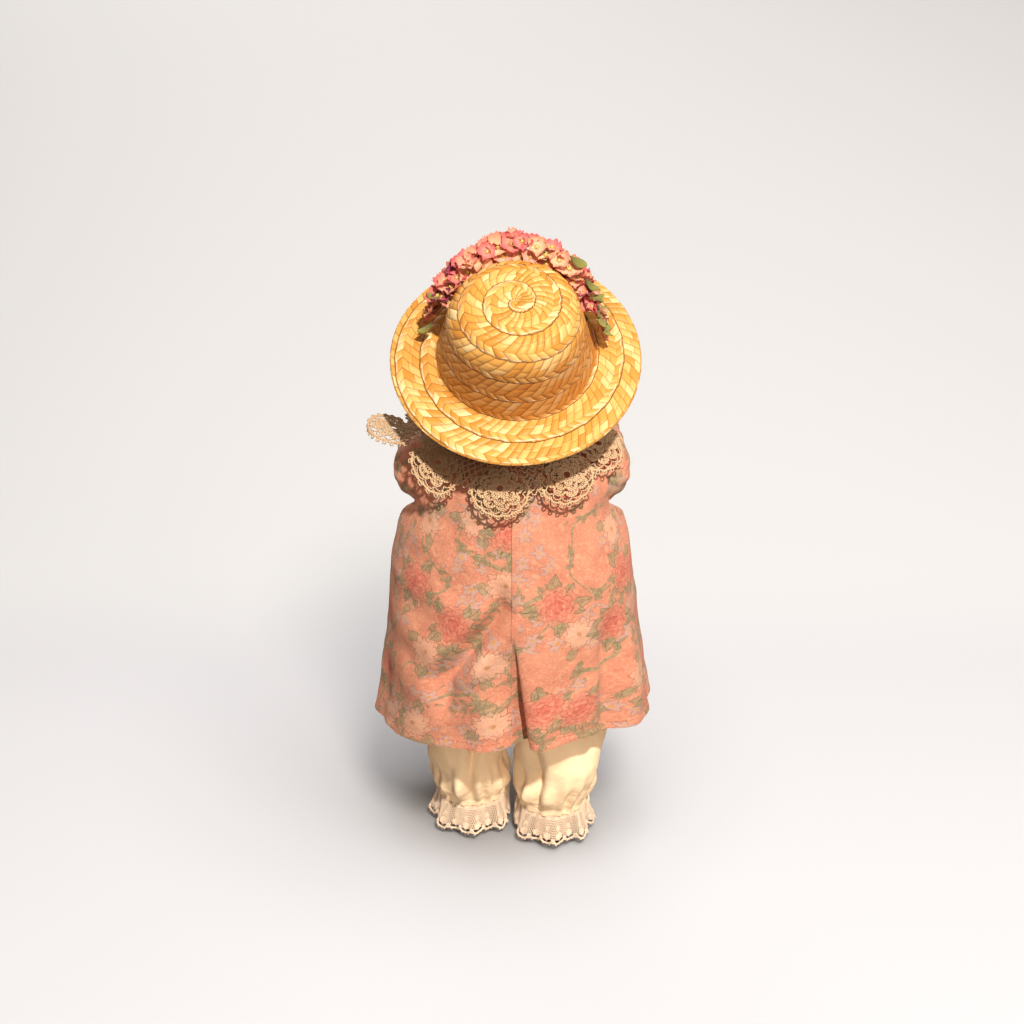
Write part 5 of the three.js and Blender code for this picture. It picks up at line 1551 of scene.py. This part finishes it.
ankle_strip = lace_strip(ANKLE_LACE_RUN, ANKLE_LACE_DROP, 15.0, 2.2, 0.34)
cuff_strip = lace_strip(CUFF_LACE_RUN, CUFF_LACE_DROP, 10.0, 2.1, 0.24)
lace_pieces = []
for side, word in SIDES.items():
    piece = gather(f"ankle_lace_frill_{word}", ankle_strip, ANKLE_LACE_RUN, ankle_frill(side))
    dress_in(piece, LACE, f"leg_{word}", f"ankle_lace_{word}", slot="lace")
    lace_pieces.append(piece)
    piece = gather(f"cuff_lace_frill_{word}", cuff_strip, CUFF_LACE_RUN, cuff_frill(side))
    dress_in(piece, LACE, f"arm_{word}", f"cuff_lace_{word}", slot="lace")
    lace_pieces.append(piece)
print("lace frills:", [len(p.data.polygons) for p in lace_pieces])


# %% [markdown]
# The wig. Brown hair is combed down from the crown of the head, cut in a fringe over the brow and set
# in ringlets all round. The cap is one sheet over the head whose lower edge follows the hairline, with
# relief for its locks. Each ringlet is a single lock wound on a rod, so it is a tube along a helix.

# %% Wig
def combed_hair():
    """The UV runs along the hair in mm, and across it once for about 20 mm."""
    material, tree, shader = new_material("combed_brown_hair", Roughness=0.4)
    shader.inputs["Specular IOR Level"].default_value = 0.55
    shader.inputs["Sheen Weight"].default_value = 0.1
    uv = add(tree, "UVMap", uv_map="UVMap").outputs[0]
    parts = add(tree, "SeparateXYZ", {0: uv})

    def strands(along, across):
        place = add(tree, "CombineXYZ", {0: calc(tree, "MULTIPLY", parts.outputs["X"], along),
                                                   1: calc(tree, "MULTIPLY", parts.outputs["Y"], across)})
        return add(tree, "TexNoise", {"Vector": place.outputs[0], "Scale": 1.0, "Detail": 3.0}).outputs["Fac"]
    locks, fine = strands(0.03, 14.0), strands(0.04, 62.0)
    mixed = calc(tree, "MULTIPLY_ADD", fine, 0.55, calc(tree, "MULTIPLY", locks, 0.45))
    tone = add(tree, "ValToRGB", {0: mixed})
    ramp = tone.color_ramp
    ramp.elements[0].position, ramp.elements[0].color = 0.4, colour("#1E0F08")
    ramp.elements[1].position, ramp.elements[1].color = 0.62, colour("#8A5A36")
    ramp.elements.new(0.5).color = colour("#4A2918")
    tree.links.new(tone.outputs["Color"], shader.inputs["Base Color"])
    relief(tree, shader, calc(tree, "MULTIPLY_ADD", fine, 0.9, locks), 1.2, 1.0)
    return material


BROWN_HAIR = combed_hair()
HAIR_MID, HAIR_HALF = np.array([0, 1, 377.5]), np.array([50.5, 51.5, 52.0])
WHORL_BACK = math.radians(28)


def hair_ray(turn, down):
    """A direction from the whorl: turn goes round the head, down goes away from the whorl."""
    x, y, z = np.sin(down) * np.sin(turn), -np.sin(down) * np.cos(turn), np.cos(down)
    c, s = math.cos(WHORL_BACK), math.sin(WHORL_BACK)
    return np.stack([x, y * c + z * s, z * c - y * s], axis=-1)


def hair_surface(turn, down):
    ray = hair_ray(turn, down)
    return HAIR_MID + ray / np.linalg.norm(ray / HAIR_HALF, axis=-1)[..., None]


def hair_edges():
    """How far down the hair reaches at each turn, to the hairline or the nape."""
    turns, reach = np.linspace(0, TAU, 241), []
    down = np.linspace(0.2, 2.9, 400)
    for turn in turns:
        p = hair_surface(np.full(400, turn), down)
        in_face = np.linalg.norm((p - [0, -52, 354]) / [37.5, 46, 43], axis=1) < 1
        reach.append(down[np.argmax(in_face | (p[:, 2] < 335.5))])
    reach = np.array(reach)
    for _ in range(3):
        reach[1:-1] = (reach[:-2] + reach[1:-1] * 2 + reach[2:]) / 4
    return turns, reach


edge_turns, edge_reach = hair_edges()


def wig_shape(u, v):
    turn = TAU * u
    reach = np.interp(turn, edge_turns, edge_reach)
    down = np.maximum(v, 0.002) * reach
    p = hair_surface(turn, down)
    ray = (p - HAIR_MID) / np.linalg.norm(p - HAIR_MID, axis=1)[:, None]
    grown = smooth(v, 0.05, 0.5)
    lock = u * 44 + grown * 0.5 * np.sin(v * 7 + u * 31)
    lift = -1.4 + 1.5 * grown * np.abs(np.sin(np.pi * lock)) ** 0.6 - 1.1 * smooth(v, 0.96, 1)
    return (p + ray * lift[:, None]).T


def wig_uv(u, v):
    return v * np.interp(TAU * u, edge_turns, edge_reach) * 51, u * 16


wig = sheet_from_grid("wig_cap", 352, 80, wig_shape, uv_of=wig_uv)
face_outwards(wig, (0, 0, 376))
thicken(wig, 1.3)
dress_in(wig, BROWN_HAIR, "head", "wig", slot="hair")
print("wig cap:", len(wig.data.polygons), "faces")


# %% Ringlets and fringe
def ringlet(beta_deg, top, bottom, side, phase):
    beta = math.radians(beta_deg)
    out = np.array([math.cos(beta) * side, math.sin(beta), 0])
    across = np.array([-out[1], out[0], 0])
    root = np.array([50.5 * out[0], 1 + 51.5 * out[1], 0])
    turns = (top - bottom) / 10.4
    t = np.linspace(0, 1, int(turns * 18))
    angle = TAU * turns * t * side + phase
    wide = 3.7 * smooth(t, 0, 0.14) * (1 - 0.28 * t)
    away = -2.5 + 8.4 * smooth(t, 0, 0.2) - 1.2 * t
    axis = root + np.outer(away, out)
    axis[:, 2] = top + (bottom - top) * t
    swirl = np.outer(np.cos(angle), out) + np.outer(np.sin(angle), across)
    radius = 3.9 * (1 - 0.2 * t) * (1 - 0.75 * smooth(t, 0.93, 1)) * (0.55 + 0.45 * smooth(t, 0, 0.1))
    return axis + wide[:, None] * swirl, swirl + out * 0.05, radius, False


RINGLETS = [(-31, 386, 342), (-9, 388, 338), (12.3, 380, 338), (33, 374, 341), (53, 368, 342), (72, 362, 342)]
cad_curls = {-9: "curl_front", 12.3: "curl_back"}
for side, word in SIDES.items():
    for i, (beta, top, bottom) in enumerate(RINGLETS):
        strand = ringlet(beta, top, bottom, side, i * 1.9 + side)
        piece = tubes(f"ringlet_{word}_{i + 1}", [strand], 9)
        nodes = [f"{cad_curls[beta]}_{word}"] if beta in cad_curls else []
        dress_in(piece, BROWN_HAIR, "head", *nodes, slot="hair")
piece = tubes("ringlet_nape", [ringlet(90, 360, 342, 1, 0.6)], 9)
dress_in(piece, BROWN_HAIR, "head", slot="hair")

fringe_strands = []
for k in range(15):
    x0 = -35 + 5 * k
    t = np.linspace(0, 1, 16)
    x = x0 * (0.86 + 0.2 * t) + 2.2 * np.sin(t * 2.2 + k * 1.3) * t
    high = 404 - 0.010 * x0 ** 2
    z = high - (16 + 3 * math.sin(k * 2.3) + 0.006 * x0 ** 2) * t ** 0.85
    inside = np.clip(1 - (x / 50.5) ** 2 - ((z - 377.5) / 52) ** 2, 0.02, 1)
    y = 1 - 51.5 * np.sqrt(inside) + 0.6 - 0.7 * np.sin(np.pi * t) + 1.1 * (k % 2)
    radius = 3.9 * np.sin(np.pi * np.clip(0.2 + 0.72 * t, 0, 1)) ** 0.7
    points = np.stack([x, y, z], axis=1)
    fringe_strands.append((points, points - [0, 0, 380], radius, False))
fringe = tubes("fringe", fringe_strands, 10)
dress_in(fringe, BROWN_HAIR, "head", slot="hair")
print("ringlets:", 2 * len(RINGLETS) + 1, "and", len(fringe_strands), "locks in the fringe")


# %% [markdown]
# The head is hard vinyl, sprayed with blush on its cheeks and lips. It is fused from a skull, jaw and
# button nose, and the face is then modelled by pushing the skin in and out round a few points, as a
# thumb does in clay. The eyes are shut behind the hands. Lashes and brows are fine strands on the skin.

# %% Head
def vinyl_skin(name, blushes=()):
    """Each blush is a place in mm, its half widths in mm, a colour and its strength."""
    material, tree, shader = new_material(name, Roughness=0.48)
    shader.inputs["Subsurface Weight"].default_value = 0.15
    shader.inputs["Subsurface Radius"].default_value = (0.004, 0.0015, 0.0008)
    shader.inputs["Subsurface Scale"].default_value = 1.0
    shader.inputs["Specular IOR Level"].default_value = 0.4
    place = add(tree, "TexCoord").outputs["Object"]
    cloud = add(tree, "TexNoise", {"Vector": place, "Scale": 45.0, "Detail": 3.0})
    tone = over(tree, cloud.outputs["Fac"], colour("#EDBE9C"), colour("#F8D6BC"))
    for (x, y, z), half, code, strength in blushes:
        away = add(tree, "VectorMath", {0: place, 1: tuple(place_of(x, y, z))}, operation="SUBTRACT").outputs[0]
        half_m = tuple(h * MM for h in half)
        scaled = add(tree, "VectorMath", {0: away, 1: half_m}, operation="DIVIDE").outputs[0]
        far = add(tree, "VectorMath", {0: scaled}, operation="LENGTH").outputs["Value"]
        amount = calc(tree, "MULTIPLY", step_down(tree, far, 0.6, 0.4), strength)
        tone = over(tree, amount, tone, colour(code))
    tree.links.new(tone, shader.inputs["Base Color"])
    grain = add(tree, "TexNoise", {"Vector": place, "Scale": 1400.0, "Detail": 2.0})
    relief(tree, shader, grain.outputs["Fac"], 0.05, 0.5)
    return material


def egg(centre, half, segments=40):
    piece = ball(0, 0, 0, 1, segments)
    set_points(piece, points_of(piece) * half + np.array(centre))
    return piece


def hump(p, centre, half):
    far = np.linalg.norm((p - centre) / half, axis=1)
    return np.exp(-2.0 * far * far)


# Place, half widths, and how far the skin is pushed out, for the middle and for both sides
EYE_X, LID_Z, LID_HALF = 16.5, 367.9, 8.2
MIDDLE_FORMS = [((0, -47, 377), (4.5, 9, 9), 1.2), ((0, -51, 357.6), (1.7, 6, 3.2), -0.8),
                ((0, -46, 350.5), (12, 10, 8), 1.9), ((0, -50, 347.4), (5.2, 6, 2.3), 1.6),
                ((0, -46, 342.4), (7, 7, 2.6), -1.1), ((0, -43, 335.5), (9, 9, 7), 2.2)]
SIDE_FORMS = [((EYE_X, -44, 374), (11.5, 14, 8.5), -2.8), ((EYE_X, -45, 371.4), (8.6, 10, 5.6), 3.2),
              ((15, -44, 384), (13, 12, 4.5), 0.9), ((3.9, -51, 363.6), (2.6, 5, 2.5), 1.2),
              ((2.1, -54, 361.3), (1.2, 4, 1.2), -1.1), ((2.9, -50, 353.1), (3.6, 6, 1.9), 1.3),
              ((9.4, -46, 350.9), (1.9, 5, 1.9), -1.1), ((24, -37, 356), (13, 13, 12), 2.7)]
skull_parts = [egg((0, 0, 376), (46, 48, 50)), egg((0, -9, 354), (34.5, 37, 30)),
               egg((0, -48.6, 365.2), (4.0, 5.6, 3.7))]
head = fused("doll_head", extra=skull_parts, voxel=0.95, soften=10)
p, n = points_of(head), vectors_of(head.data.vertices, "normal")
push = np.zeros(len(p))
for centre, half, depth in MIDDLE_FORMS:
    push += depth * hump(p, centre, half)
for (x, y, z), half, depth in SIDE_FORMS:
    push += depth * (hump(p, (x, y, z), half) + hump(p, (-x, y, z), half))
in_front = smooth(-p[:, 1], 30, 42)
mouth_line = np.exp(-((p[:, 2] - 350.3 - 0.011 * p[:, 0] ** 2) / 0.8) ** 2) * smooth(9.6 - np.abs(p[:, 0]), 0, 3)
lid_across = (np.abs(p[:, 0]) - EYE_X) / LID_HALF
lid_line = np.exp(-((p[:, 2] - LID_Z - 2.6 * lid_across ** 2) / 0.7) ** 2) * smooth(1 - np.abs(lid_across), 0, 0.3)
push -= in_front * (1.3 * mouth_line + 0.7 * lid_line)
set_points(head, p + n * push[:, None])
cheeks = [((s * 25, -38, 357), (13, 14, 11), "#E8826E", 0.55) for s in SIDES]
lips = [((0, -50, 350.2), (11, 12, 5.6), "#C04A50", 0.95), ((0, -55, 364), (5, 6, 4), "#E8907C", 0.3)]
lids = [((s * EYE_X, -46, 373), (10, 8, 6), "#D99A86", 0.35) for s in SIDES]
dress_in(head, vinyl_skin("blushed_vinyl_face", cheeks + lips + lids), "head", "head_shell", slot="skin")

face_tree = BVHTree.FromObject(head, bpy.context.evaluated_depsgraph_get())


def on_face(x, z, off):
    hit = face_tree.ray_cast(place_of(x, -90, z), Vector((0, 1, 0)))[0]
    return np.array(hit) / MM - NECK_AXIS + [0, -off, 0]


def on_lid(side, dx, off):
    """A point on the edge of a shut lid, dx mm out from its middle."""
    return on_face(side * (EYE_X + dx), LID_Z + 2.6 * (dx / LID_HALF) ** 2, off)


def strokes(name, lines, radius):
    strands = []
    for line in lines:
        points = np.array(line)
        taper = radius * (0.35 + 0.65 * np.sin(np.pi * np.linspace(0.1, 0.95, len(points))))
        strands.append((points, points - [0, 0, 365], taper, False))
    return tubes(name, strands, 6)


lash_lines, brow_lines = [], []
for s in SIDES:
    lash_lines.append([on_lid(s, dx, 0.15) for dx in np.linspace(-8.0, 8.0, 25)])
    for dx in np.linspace(-6.5, 8, 12):
        root = on_lid(s, dx, 0.1)
        tip = root + np.array([s * dx * 0.2, -1.9, -2.4 + 0.1 * abs(dx)])
        middle = root + np.array([s * dx * 0.08, -0.8, -1.6])
        lash_lines.append([root, (root + middle) / 2, middle, (middle + tip) / 2 + [0, 0, -0.2], tip])
    for i in range(20):
        x = 8.5 + i * 0.85
        z = 379.3 + 2.4 * math.sin(math.pi * (i + 3) / 25) + (i % 3 - 1) * 0.35
        brow_lines.append([on_face(s * (x + k * 0.9), z + k * 0.42 * (1 - i / 14), 0.05) for k in range(4)])
lashes = strokes("eyelashes", lash_lines, 0.42)
brows = strokes("eyebrows", brow_lines, 0.3)
for piece in (lashes, brows):
    dress_in(piece, BROWN_HAIR, "head", slot="hair")
print("head:", len(head.data.polygons), "faces,", len(lash_lines), "lashes,", len(brow_lines), "strokes of brow")


# %% [markdown]
# Arms and hands. She holds both hands flat before her face. Upper arm, forearm, palm, four fingers and
# a thumb are fused into one vinyl skin, and the shoulder is cut flat where it turns against the trunk.

# %% Arms and hands
ARM_LINE = [((62.5, -4, 304), 16.5), ((65, -42, 293), 15), ((65, -63, 294), 14), ((56, -71, 309), 13.4),
            ((38, -73, 342), 9.2), ((30, -71, 354), 7)]


FINGERS = (20, 23, 22, 17)  # their lengths in mm, from the first to the little finger


def fingertip(side, i):
    return np.array([side * (23 - 17.1 * i / 3), -67, 376 - 2 * i + FINGERS[i]])


def arm(side):
    word = SIDES[side]
    line = [(np.array(p) * [side, 1, 1], r) for p, r in ARM_LINE]
    bars = [(a, b, ra, rb) for (a, ra), (b, rb) in zip(line[:-1], line[1:])]
    balls = [(*p, r) for p, r in line] + [(*(SHOULDER * [side, 1, 1]), 19)]
    palm = egg((0, 0, 0), (11.5, 5.6, 14))
    turn = -side * math.radians(24)
    q = points_of(palm)
    q = np.stack([q[:, 0] * math.cos(turn) + q[:, 2] * math.sin(turn), q[:, 1], q[:, 2] * math.cos(turn)
                  - q[:, 0] * math.sin(turn)], axis=1)
    set_points(palm, q + [side * 27, -69.5, 363])
    for i in range(len(FINGERS)):
        base, tip = np.array([side * (29.5 - 16 * i / 3), -69, 376 - 2 * i]), fingertip(side, i)
        knuckle = (base + tip) / 2 + [0, -0.7, 0]
        bars += [(base, knuckle, 3.5, 3.15), (knuckle, tip, 3.15, 2.7)]
        balls += [(*base, 3.6), (*knuckle, 3.3), (*tip, 2.8)]
    thumb = [np.array([side * 31, -68, 358]), np.array([side * 37, -66.5, 364]), np.array([side * 40, -65.5, 371])]
    bars += [(thumb[0], thumb[1], 4.6, 3.9), (thumb[1], thumb[2], 3.9, 3.3)]
    balls += [(*thumb[1], 4.1), (*thumb[2], 3.5)]
    piece = fused(f"vinyl_arm_{word}", balls, bars, voxel=0.7, soften=5, extra=[palm])
    cut_away(piece, [shoulder_block(side, 46.4)])
    dress_in(piece, SKIN, f"arm_{word}", f"arm_{word}", slot="skin")
    return piece


tips = [(fingertip(s, i), (5, 6, 5.5), "#E2927E", 0.4) for s in SIDES for i in range(len(FINGERS))]
SKIN = vinyl_skin("matt_vinyl_skin", tips)
arms = [arm(side) for side in SIDES]
print("arms:", [len(a.data.polygons) for a in arms])


# %% [markdown]
# Shoes of soft brown leather with one buttoned strap. The upper is a sheet shaped like a last, given
# the thickness of leather, with its mouth cut out of it. The strap is laid over foot and upper by
# casting rays at them, so that it lies on both.

# %% Shoes
def brown_leather(name, light, dark, rough):
    material, tree, shader = new_material(name, Roughness=rough)
    shader.inputs["Specular IOR Level"].default_value = 0.5
    place = add(tree, "TexCoord").outputs["Object"]
    grain = add(tree, "TexVoronoi", {"Vector": place, "Scale": 1100.0}, feature="DISTANCE_TO_EDGE")
    cloud = add(tree, "TexNoise", {"Vector": place, "Scale": 60.0, "Detail": 5.0})
    tone = over(tree, cloud.outputs["Fac"], colour(dark), colour(light))
    tone = over(tree, step_down(tree, grain.outputs["Distance"], 0.08, 0.06), tone, colour(dark))
    tree.links.new(tone, shader.inputs["Base Color"])
    pits = calc(tree, "MINIMUM", grain.outputs["Distance"], 0.25)
    creases = calc(tree, "MULTIPLY_ADD", cloud.outputs["Fac"], 2.0, pits)
    relief(tree, shader, creases, 0.5, 0.6)
    return material


LEATHER = brown_leather("tanned_brown_leather", "#5E3B28", "#2E1A11", 0.36)
SOLE_LEATHER = brown_leather("stacked_sole_leather", "#6E4C33", "#3A2618", 0.6)
# Rows from the sole up: share of the width, of the height, and of the fall towards the toe
SHOE_ROWS = np.array([[0.93, 0, 0], [0.99, 0.1, 0.1], [1.005, 0.3, 0.34], [0.985, 0.58, 0.62], [0.87, 0.85, 0.88],
                      [0.62, 0.99, 1], [0.3, 1.02, 1.02], [0, 1.03, 1.03]])


SHOE_W, SHOE_L = 20.2, 40.2  # half of the shoe's width and of its length
STRAP_STEPS = 41


def shoe(side):
    word = SIDES[side]
    y0, ankle_y = lean(side, 0) - 17, lean(side, 20)
    strap_x, strap_y, strap_z = side * 30.6, ankle_y - 17, 13

    def shape(u, v):
        t = TAU * u
        scale, k, fall = rows_at(SHOE_ROWS, v * 7).T
        scale = np.where(v > 0.999, 0, scale)
        x, y = SHOE_W * scale * np.cos(t), SHOE_L * scale * np.sin(t)
        x = x * (1 - 0.12 * smooth(y / SHOE_L, -0.2, 0.9))
        z = 4.3 + 22.3 * k - 22.3 * fall * 0.42 * smooth(np.clip(-y / SHOE_L, 0, 1), 0, 1)
        z = z - 0.35 * np.exp(-((y + 17) / 1.4) ** 2) * k - 0.3 * np.exp(-((y + 13) / 1.2) ** 2) * k
        return side * 30 + x, y0 + y, z
    upper = sheet_from_grid(f"shoe_upper_{word}", 96, 40, shape, (120, 30))
    face_outwards(upper, (side * 30, y0, 10))
    thicken(upper, 1.4)
    mouth = rod((side * 31, ankle_y, 17), (side * 31, ankle_y, 48), 20.3, 20.3)
    vamp = egg((side * 30.4, ankle_y - 12, 27), (13, 20, 9.5))
    cut_away(upper, [mouth, vamp])
    only(upper)
    bpy.ops.object.shade_smooth_by_angle(angle=math.radians(45))
    dress_in(upper, LEATHER, f"leg_{word}", f"shoe_{word}", slot="shoe_leather")

    depsgraph = bpy.context.evaluated_depsgraph_get()
    trees = [BVHTree.FromObject(piece, depsgraph) for piece in (upper, bpy.data.objects[f"leg_{word}"])]
    line = []
    for a in np.radians(np.linspace(-4, 184, STRAP_STEPS)):
        centre, way = place_of(strap_x, strap_y, strap_z), Vector((math.cos(a), 0, math.sin(a)))
        hits = [tree.ray_cast(centre + way * 0.06, -way, 0.06)[0] for tree in trees]
        line.append(max((h - centre).length for h in hits if h) / MM + 0.7)
    line = np.convolve(np.pad(line, 2, mode="edge"), np.ones(5) / 5, "valid")

    def strap_shape(u, v):
        a = np.radians(-4 + 188 * v)
        r = np.interp(v, np.linspace(0, 1, STRAP_STEPS), line)
        return strap_x + r * np.cos(a), strap_y + (u - 0.5) * 6.5, strap_z + r * np.sin(a)
    strap = sheet_from_grid(f"shoe_strap_{word}", 6, 60, strap_shape, (7, 62), weld=False)
    face_outwards(strap, (strap_x, strap_y, strap_z))
    thicken(strap, 1.2, 1.0)
    dress_in(strap, LEATHER, f"leg_{word}", slot="shoe_leather")
    knob = egg((strap_x + side * (line[3] + 1.2), strap_y, strap_z + 3), (1.5, 2.4, 2.4), 20)
    knob.name = f"strap_button_{word}"
    only(knob)
    bpy.ops.object.shade_smooth()
    dress_in(knob, PEARL, f"leg_{word}", slot="button")
    return upper


PEARL = two_tone("shell_button", 0.25, "#F4EBDD", "#D9CDBF", "TexWave",
                 {"Scale": 190.0, "Distortion": 6.0, "Detail": 2.0}, 0.05, 0.4)
PEARL.node_tree.nodes["Principled BSDF"].inputs["Coat Weight"].default_value = 0.4
shoes = [shoe(side) for side in SIDES]
print("shoes:", [len(s.data.polygons) for s in shoes])


# %% [markdown]
# Elastics and the parts inside. A covered elastic gathers the bloomers at the waist and ankles, and
# cords with steel hooks string the limbs to the trunk, as in any strung doll. The CAD solids of the
# hard parts stay as they are, and only get their finish.

# %% Elastics and inner parts
def steel_wire():
    material, tree, shader = new_material("bright_steel_wire", Metallic=1.0)
    place = add(tree, "TexCoord").outputs["Object"]
    cloud = add(tree, "TexNoise", {"Vector": place, "Scale": 500.0, "Detail": 3.0})
    tone = over(tree, cloud.outputs["Fac"], colour("#8F9296"), colour("#C9CCCF"))
    tree.links.new(tone, shader.inputs["Base Color"])
    rough = add(tree, "MapRange", {0: cloud.outputs["Fac"], 3: 0.2, 4: 0.42})
    tree.links.new(rough.outputs[0], shader.inputs["Roughness"])
    return material


ELASTIC, CORD = (two_tone(name, 0.85, "#CFC6B6", "#F1EADC", "TexWave",
                          {"Scale": ribs_per_m, "Distortion": 1.5, "Detail": 1.0}, 0.25, 0.6)
                 for name, ribs_per_m in (("cotton_covered_elastic", 260.0), ("braided_elastic_cord", 160.0)))
STEEL = steel_wire()
BEECH = two_tone("turned_beech", 0.55, "#C89A68", "#E4C193", "TexNoise", {"Scale": 400.0, "Detail": 4.0},
                 0.08, 0.5, stretch=(1, 1, 0.12))


def elastic_band(name, centre, half, low, high, body, node):
    def shape(u, v):
        t = TAU * u
        ripple = 0.25 * np.cos(40 * t)
        bulge = 0.25 * np.sin(np.pi * v)
        x, y = (half[0] + ripple + bulge) * np.cos(t), (half[1] + ripple + bulge) * np.sin(t)
        return centre[0] + x, centre[1] + y, high + (low - high) * v
    around = np.pi * (half[0] + half[1])
    piece = sheet_from_grid(name, 160, 5, shape, (around, high - low))
    face_outwards(piece, (*centre, (low + high) / 2))
    thicken(piece, 1.0)
    dress_in(piece, ELASTIC, body, node, slot="elastic")


elastic_band("waist_elastic_band", (0, 0), (49.2, 37.7), 206, 211, "torso", "waist_elastic")
for side, word in SIDES.items():
    elastic_band(f"ankle_elastic_band_{word}", (side * ANKLE_X, lean(side, 32)), (24.2, 24.2), 30, 34,
                 f"leg_{word}", f"ankle_elastic_{word}")

FINISHES = {"trunk_shell": SKIN, "neck_plug": BEECH, "neck_hook": STEEL, "shoulder_cord": CORD, "hip_cord": CORD,
            "body_cord": CORD, "collar_button": PEARL}
for word in SIDES.values():
    FINISHES.update({f"leg_{word}": SKIN, f"shoe_sole_{word}": SOLE_LEATHER, f"arm_hook_{word}": STEEL,
                     f"leg_hook_{word}": STEEL})
for node, material in FINISHES.items():
    for slot in bpy.data.objects[node].material_slots:
        slot.material = material
print("inner parts finished:", len(FINISHES))


# %% [markdown]
# The studio. The doll stands on a plain pale sweep of paper that turns up all round her. A small warm sun
# stands high above and behind the camera, so that the hat and the collar throw sharp shadows down her
# back. The paper has two wider lamps of its own, which make the soft shadow on the floor. A low lamp
# lights the bloomers, broad ones stand on the right and in front, and a pale room fills the rest in.

# %% Floor and lights
PAPER_MM = 7200
FLOOR_TONE, WALL_TONE = "#94979D", "#999CA0"


def floor_shape(u, v):
    x, y = (u - 0.5) * PAPER_MM, PAPER_MM / 2 - PAPER_MM * v
    lift = 640 * smooth(-y, 260, 2300) ** 1.25 + 2500 * smooth(np.hypot(x, y), 2350, 3700)
    return x, y - NECK_AXIS[1], lift


def paper_sweep():
    """Matt paper, a little greyer where it turns up behind the doll."""
    material, tree, shader = new_material("matt_paper", Roughness=0.95)
    shader.inputs["Specular IOR Level"].default_value = 0.1
    place = add(tree, "TexCoord").outputs["Object"]
    back = add(tree, "MapRange", {0: add(tree, "SeparateXYZ", {0: place}).outputs["Y"],
                                            1: -0.42, 2: -0.2, 3: 1.0, 4: 0.0}, interpolation_type="SMOOTHSTEP")
    tree.links.new(over(tree, back.outputs[0], colour(FLOOR_TONE), colour(WALL_TONE)), shader.inputs["Base Color"])
    return material


floor = sheet_from_grid("studio_floor", 90, 90, floor_shape, (PAPER_MM, PAPER_MM), weld=False)
floor.data.materials.append(paper_sweep())
floor.visible_diffuse = False  # no pale light thrown up from the paper, so the folds keep their depth


def lamp(name, at, target, size_m, watts, tint, lights=None):
    """A round lamp. It lights everything, or only the collection that is given."""
    data = bpy.data.lights.new(name, "AREA")
    data.shape = "DISK"
    data.size = size_m
    data.energy = watts
    data.color = colour(tint)[:3]
    lamp_object = bpy.data.objects.new(name, data)
    bpy.context.scene.collection.objects.link(lamp_object)
    lamp_object.location = place_of(*at)
    lamp_object.rotation_mode = "QUATERNION"
    way = place_of(*target) - place_of(*at)
    lamp_object.rotation_quaternion = way.to_track_quat("-Z", "Y")
    lamp_object.light_linking.receiver_collection = lights


paper_only, all_but_paper, legs_only = (bpy.data.collections.new(name)
                                        for name in ("paper_only", "all_but_paper", "legs_only"))
for group in (paper_only, all_but_paper):
    group.objects.link(floor)
all_but_paper.collection_objects[0].light_linking.link_state = "EXCLUDE"
for piece in bpy.data.objects:
    if piece.name.startswith(("bloomers", "ankle_lace")):
        legs_only.objects.link(piece)
# Two wider lamps light the paper alone, and the small sun leaves it out, so that the doll's shadow on the
# paper is as soft as in the photograph
SUN_AT, CHEST = (-430, 1760, 2400), (0, 0, 250)
lamp("warm_sun", SUN_AT, CHEST, 0.12, 95, "#FFEFD8", all_but_paper)
lamp("paper_sun", SUN_AT, CHEST, 0.7, 101, "#FFF2E2", paper_only)
lamp("paper_fill", (-300, 500, 2600), (0, 0, 0), 2.2, 152, "#FFFAF5", paper_only)
# A low warm lamp brings the bloomers out of the shadow of the hem
lamp("leg_light", (-260, 1500, 480), (0, 0, 70), 0.3, 9, "#FFE6C6", legs_only)
lamp("broad_right", (-1500, 1300, 1500), (0, 0, 220), 1.1, 13, "#FFE9CF")
lamp("front_fill", (500, -1800, 1100), CHEST, 1.4, 14, "#FFF8F0")
world = bpy.data.worlds.new("pale_room")
world.use_nodes = True
sky = world.node_tree.nodes["Background"]
sky.inputs["Color"].default_value = colour("#FFE0C2")
sky.inputs["Strength"].default_value = 0.27
bpy.context.scene.world = world
bpy.context.scene.view_settings.view_transform = "Standard"
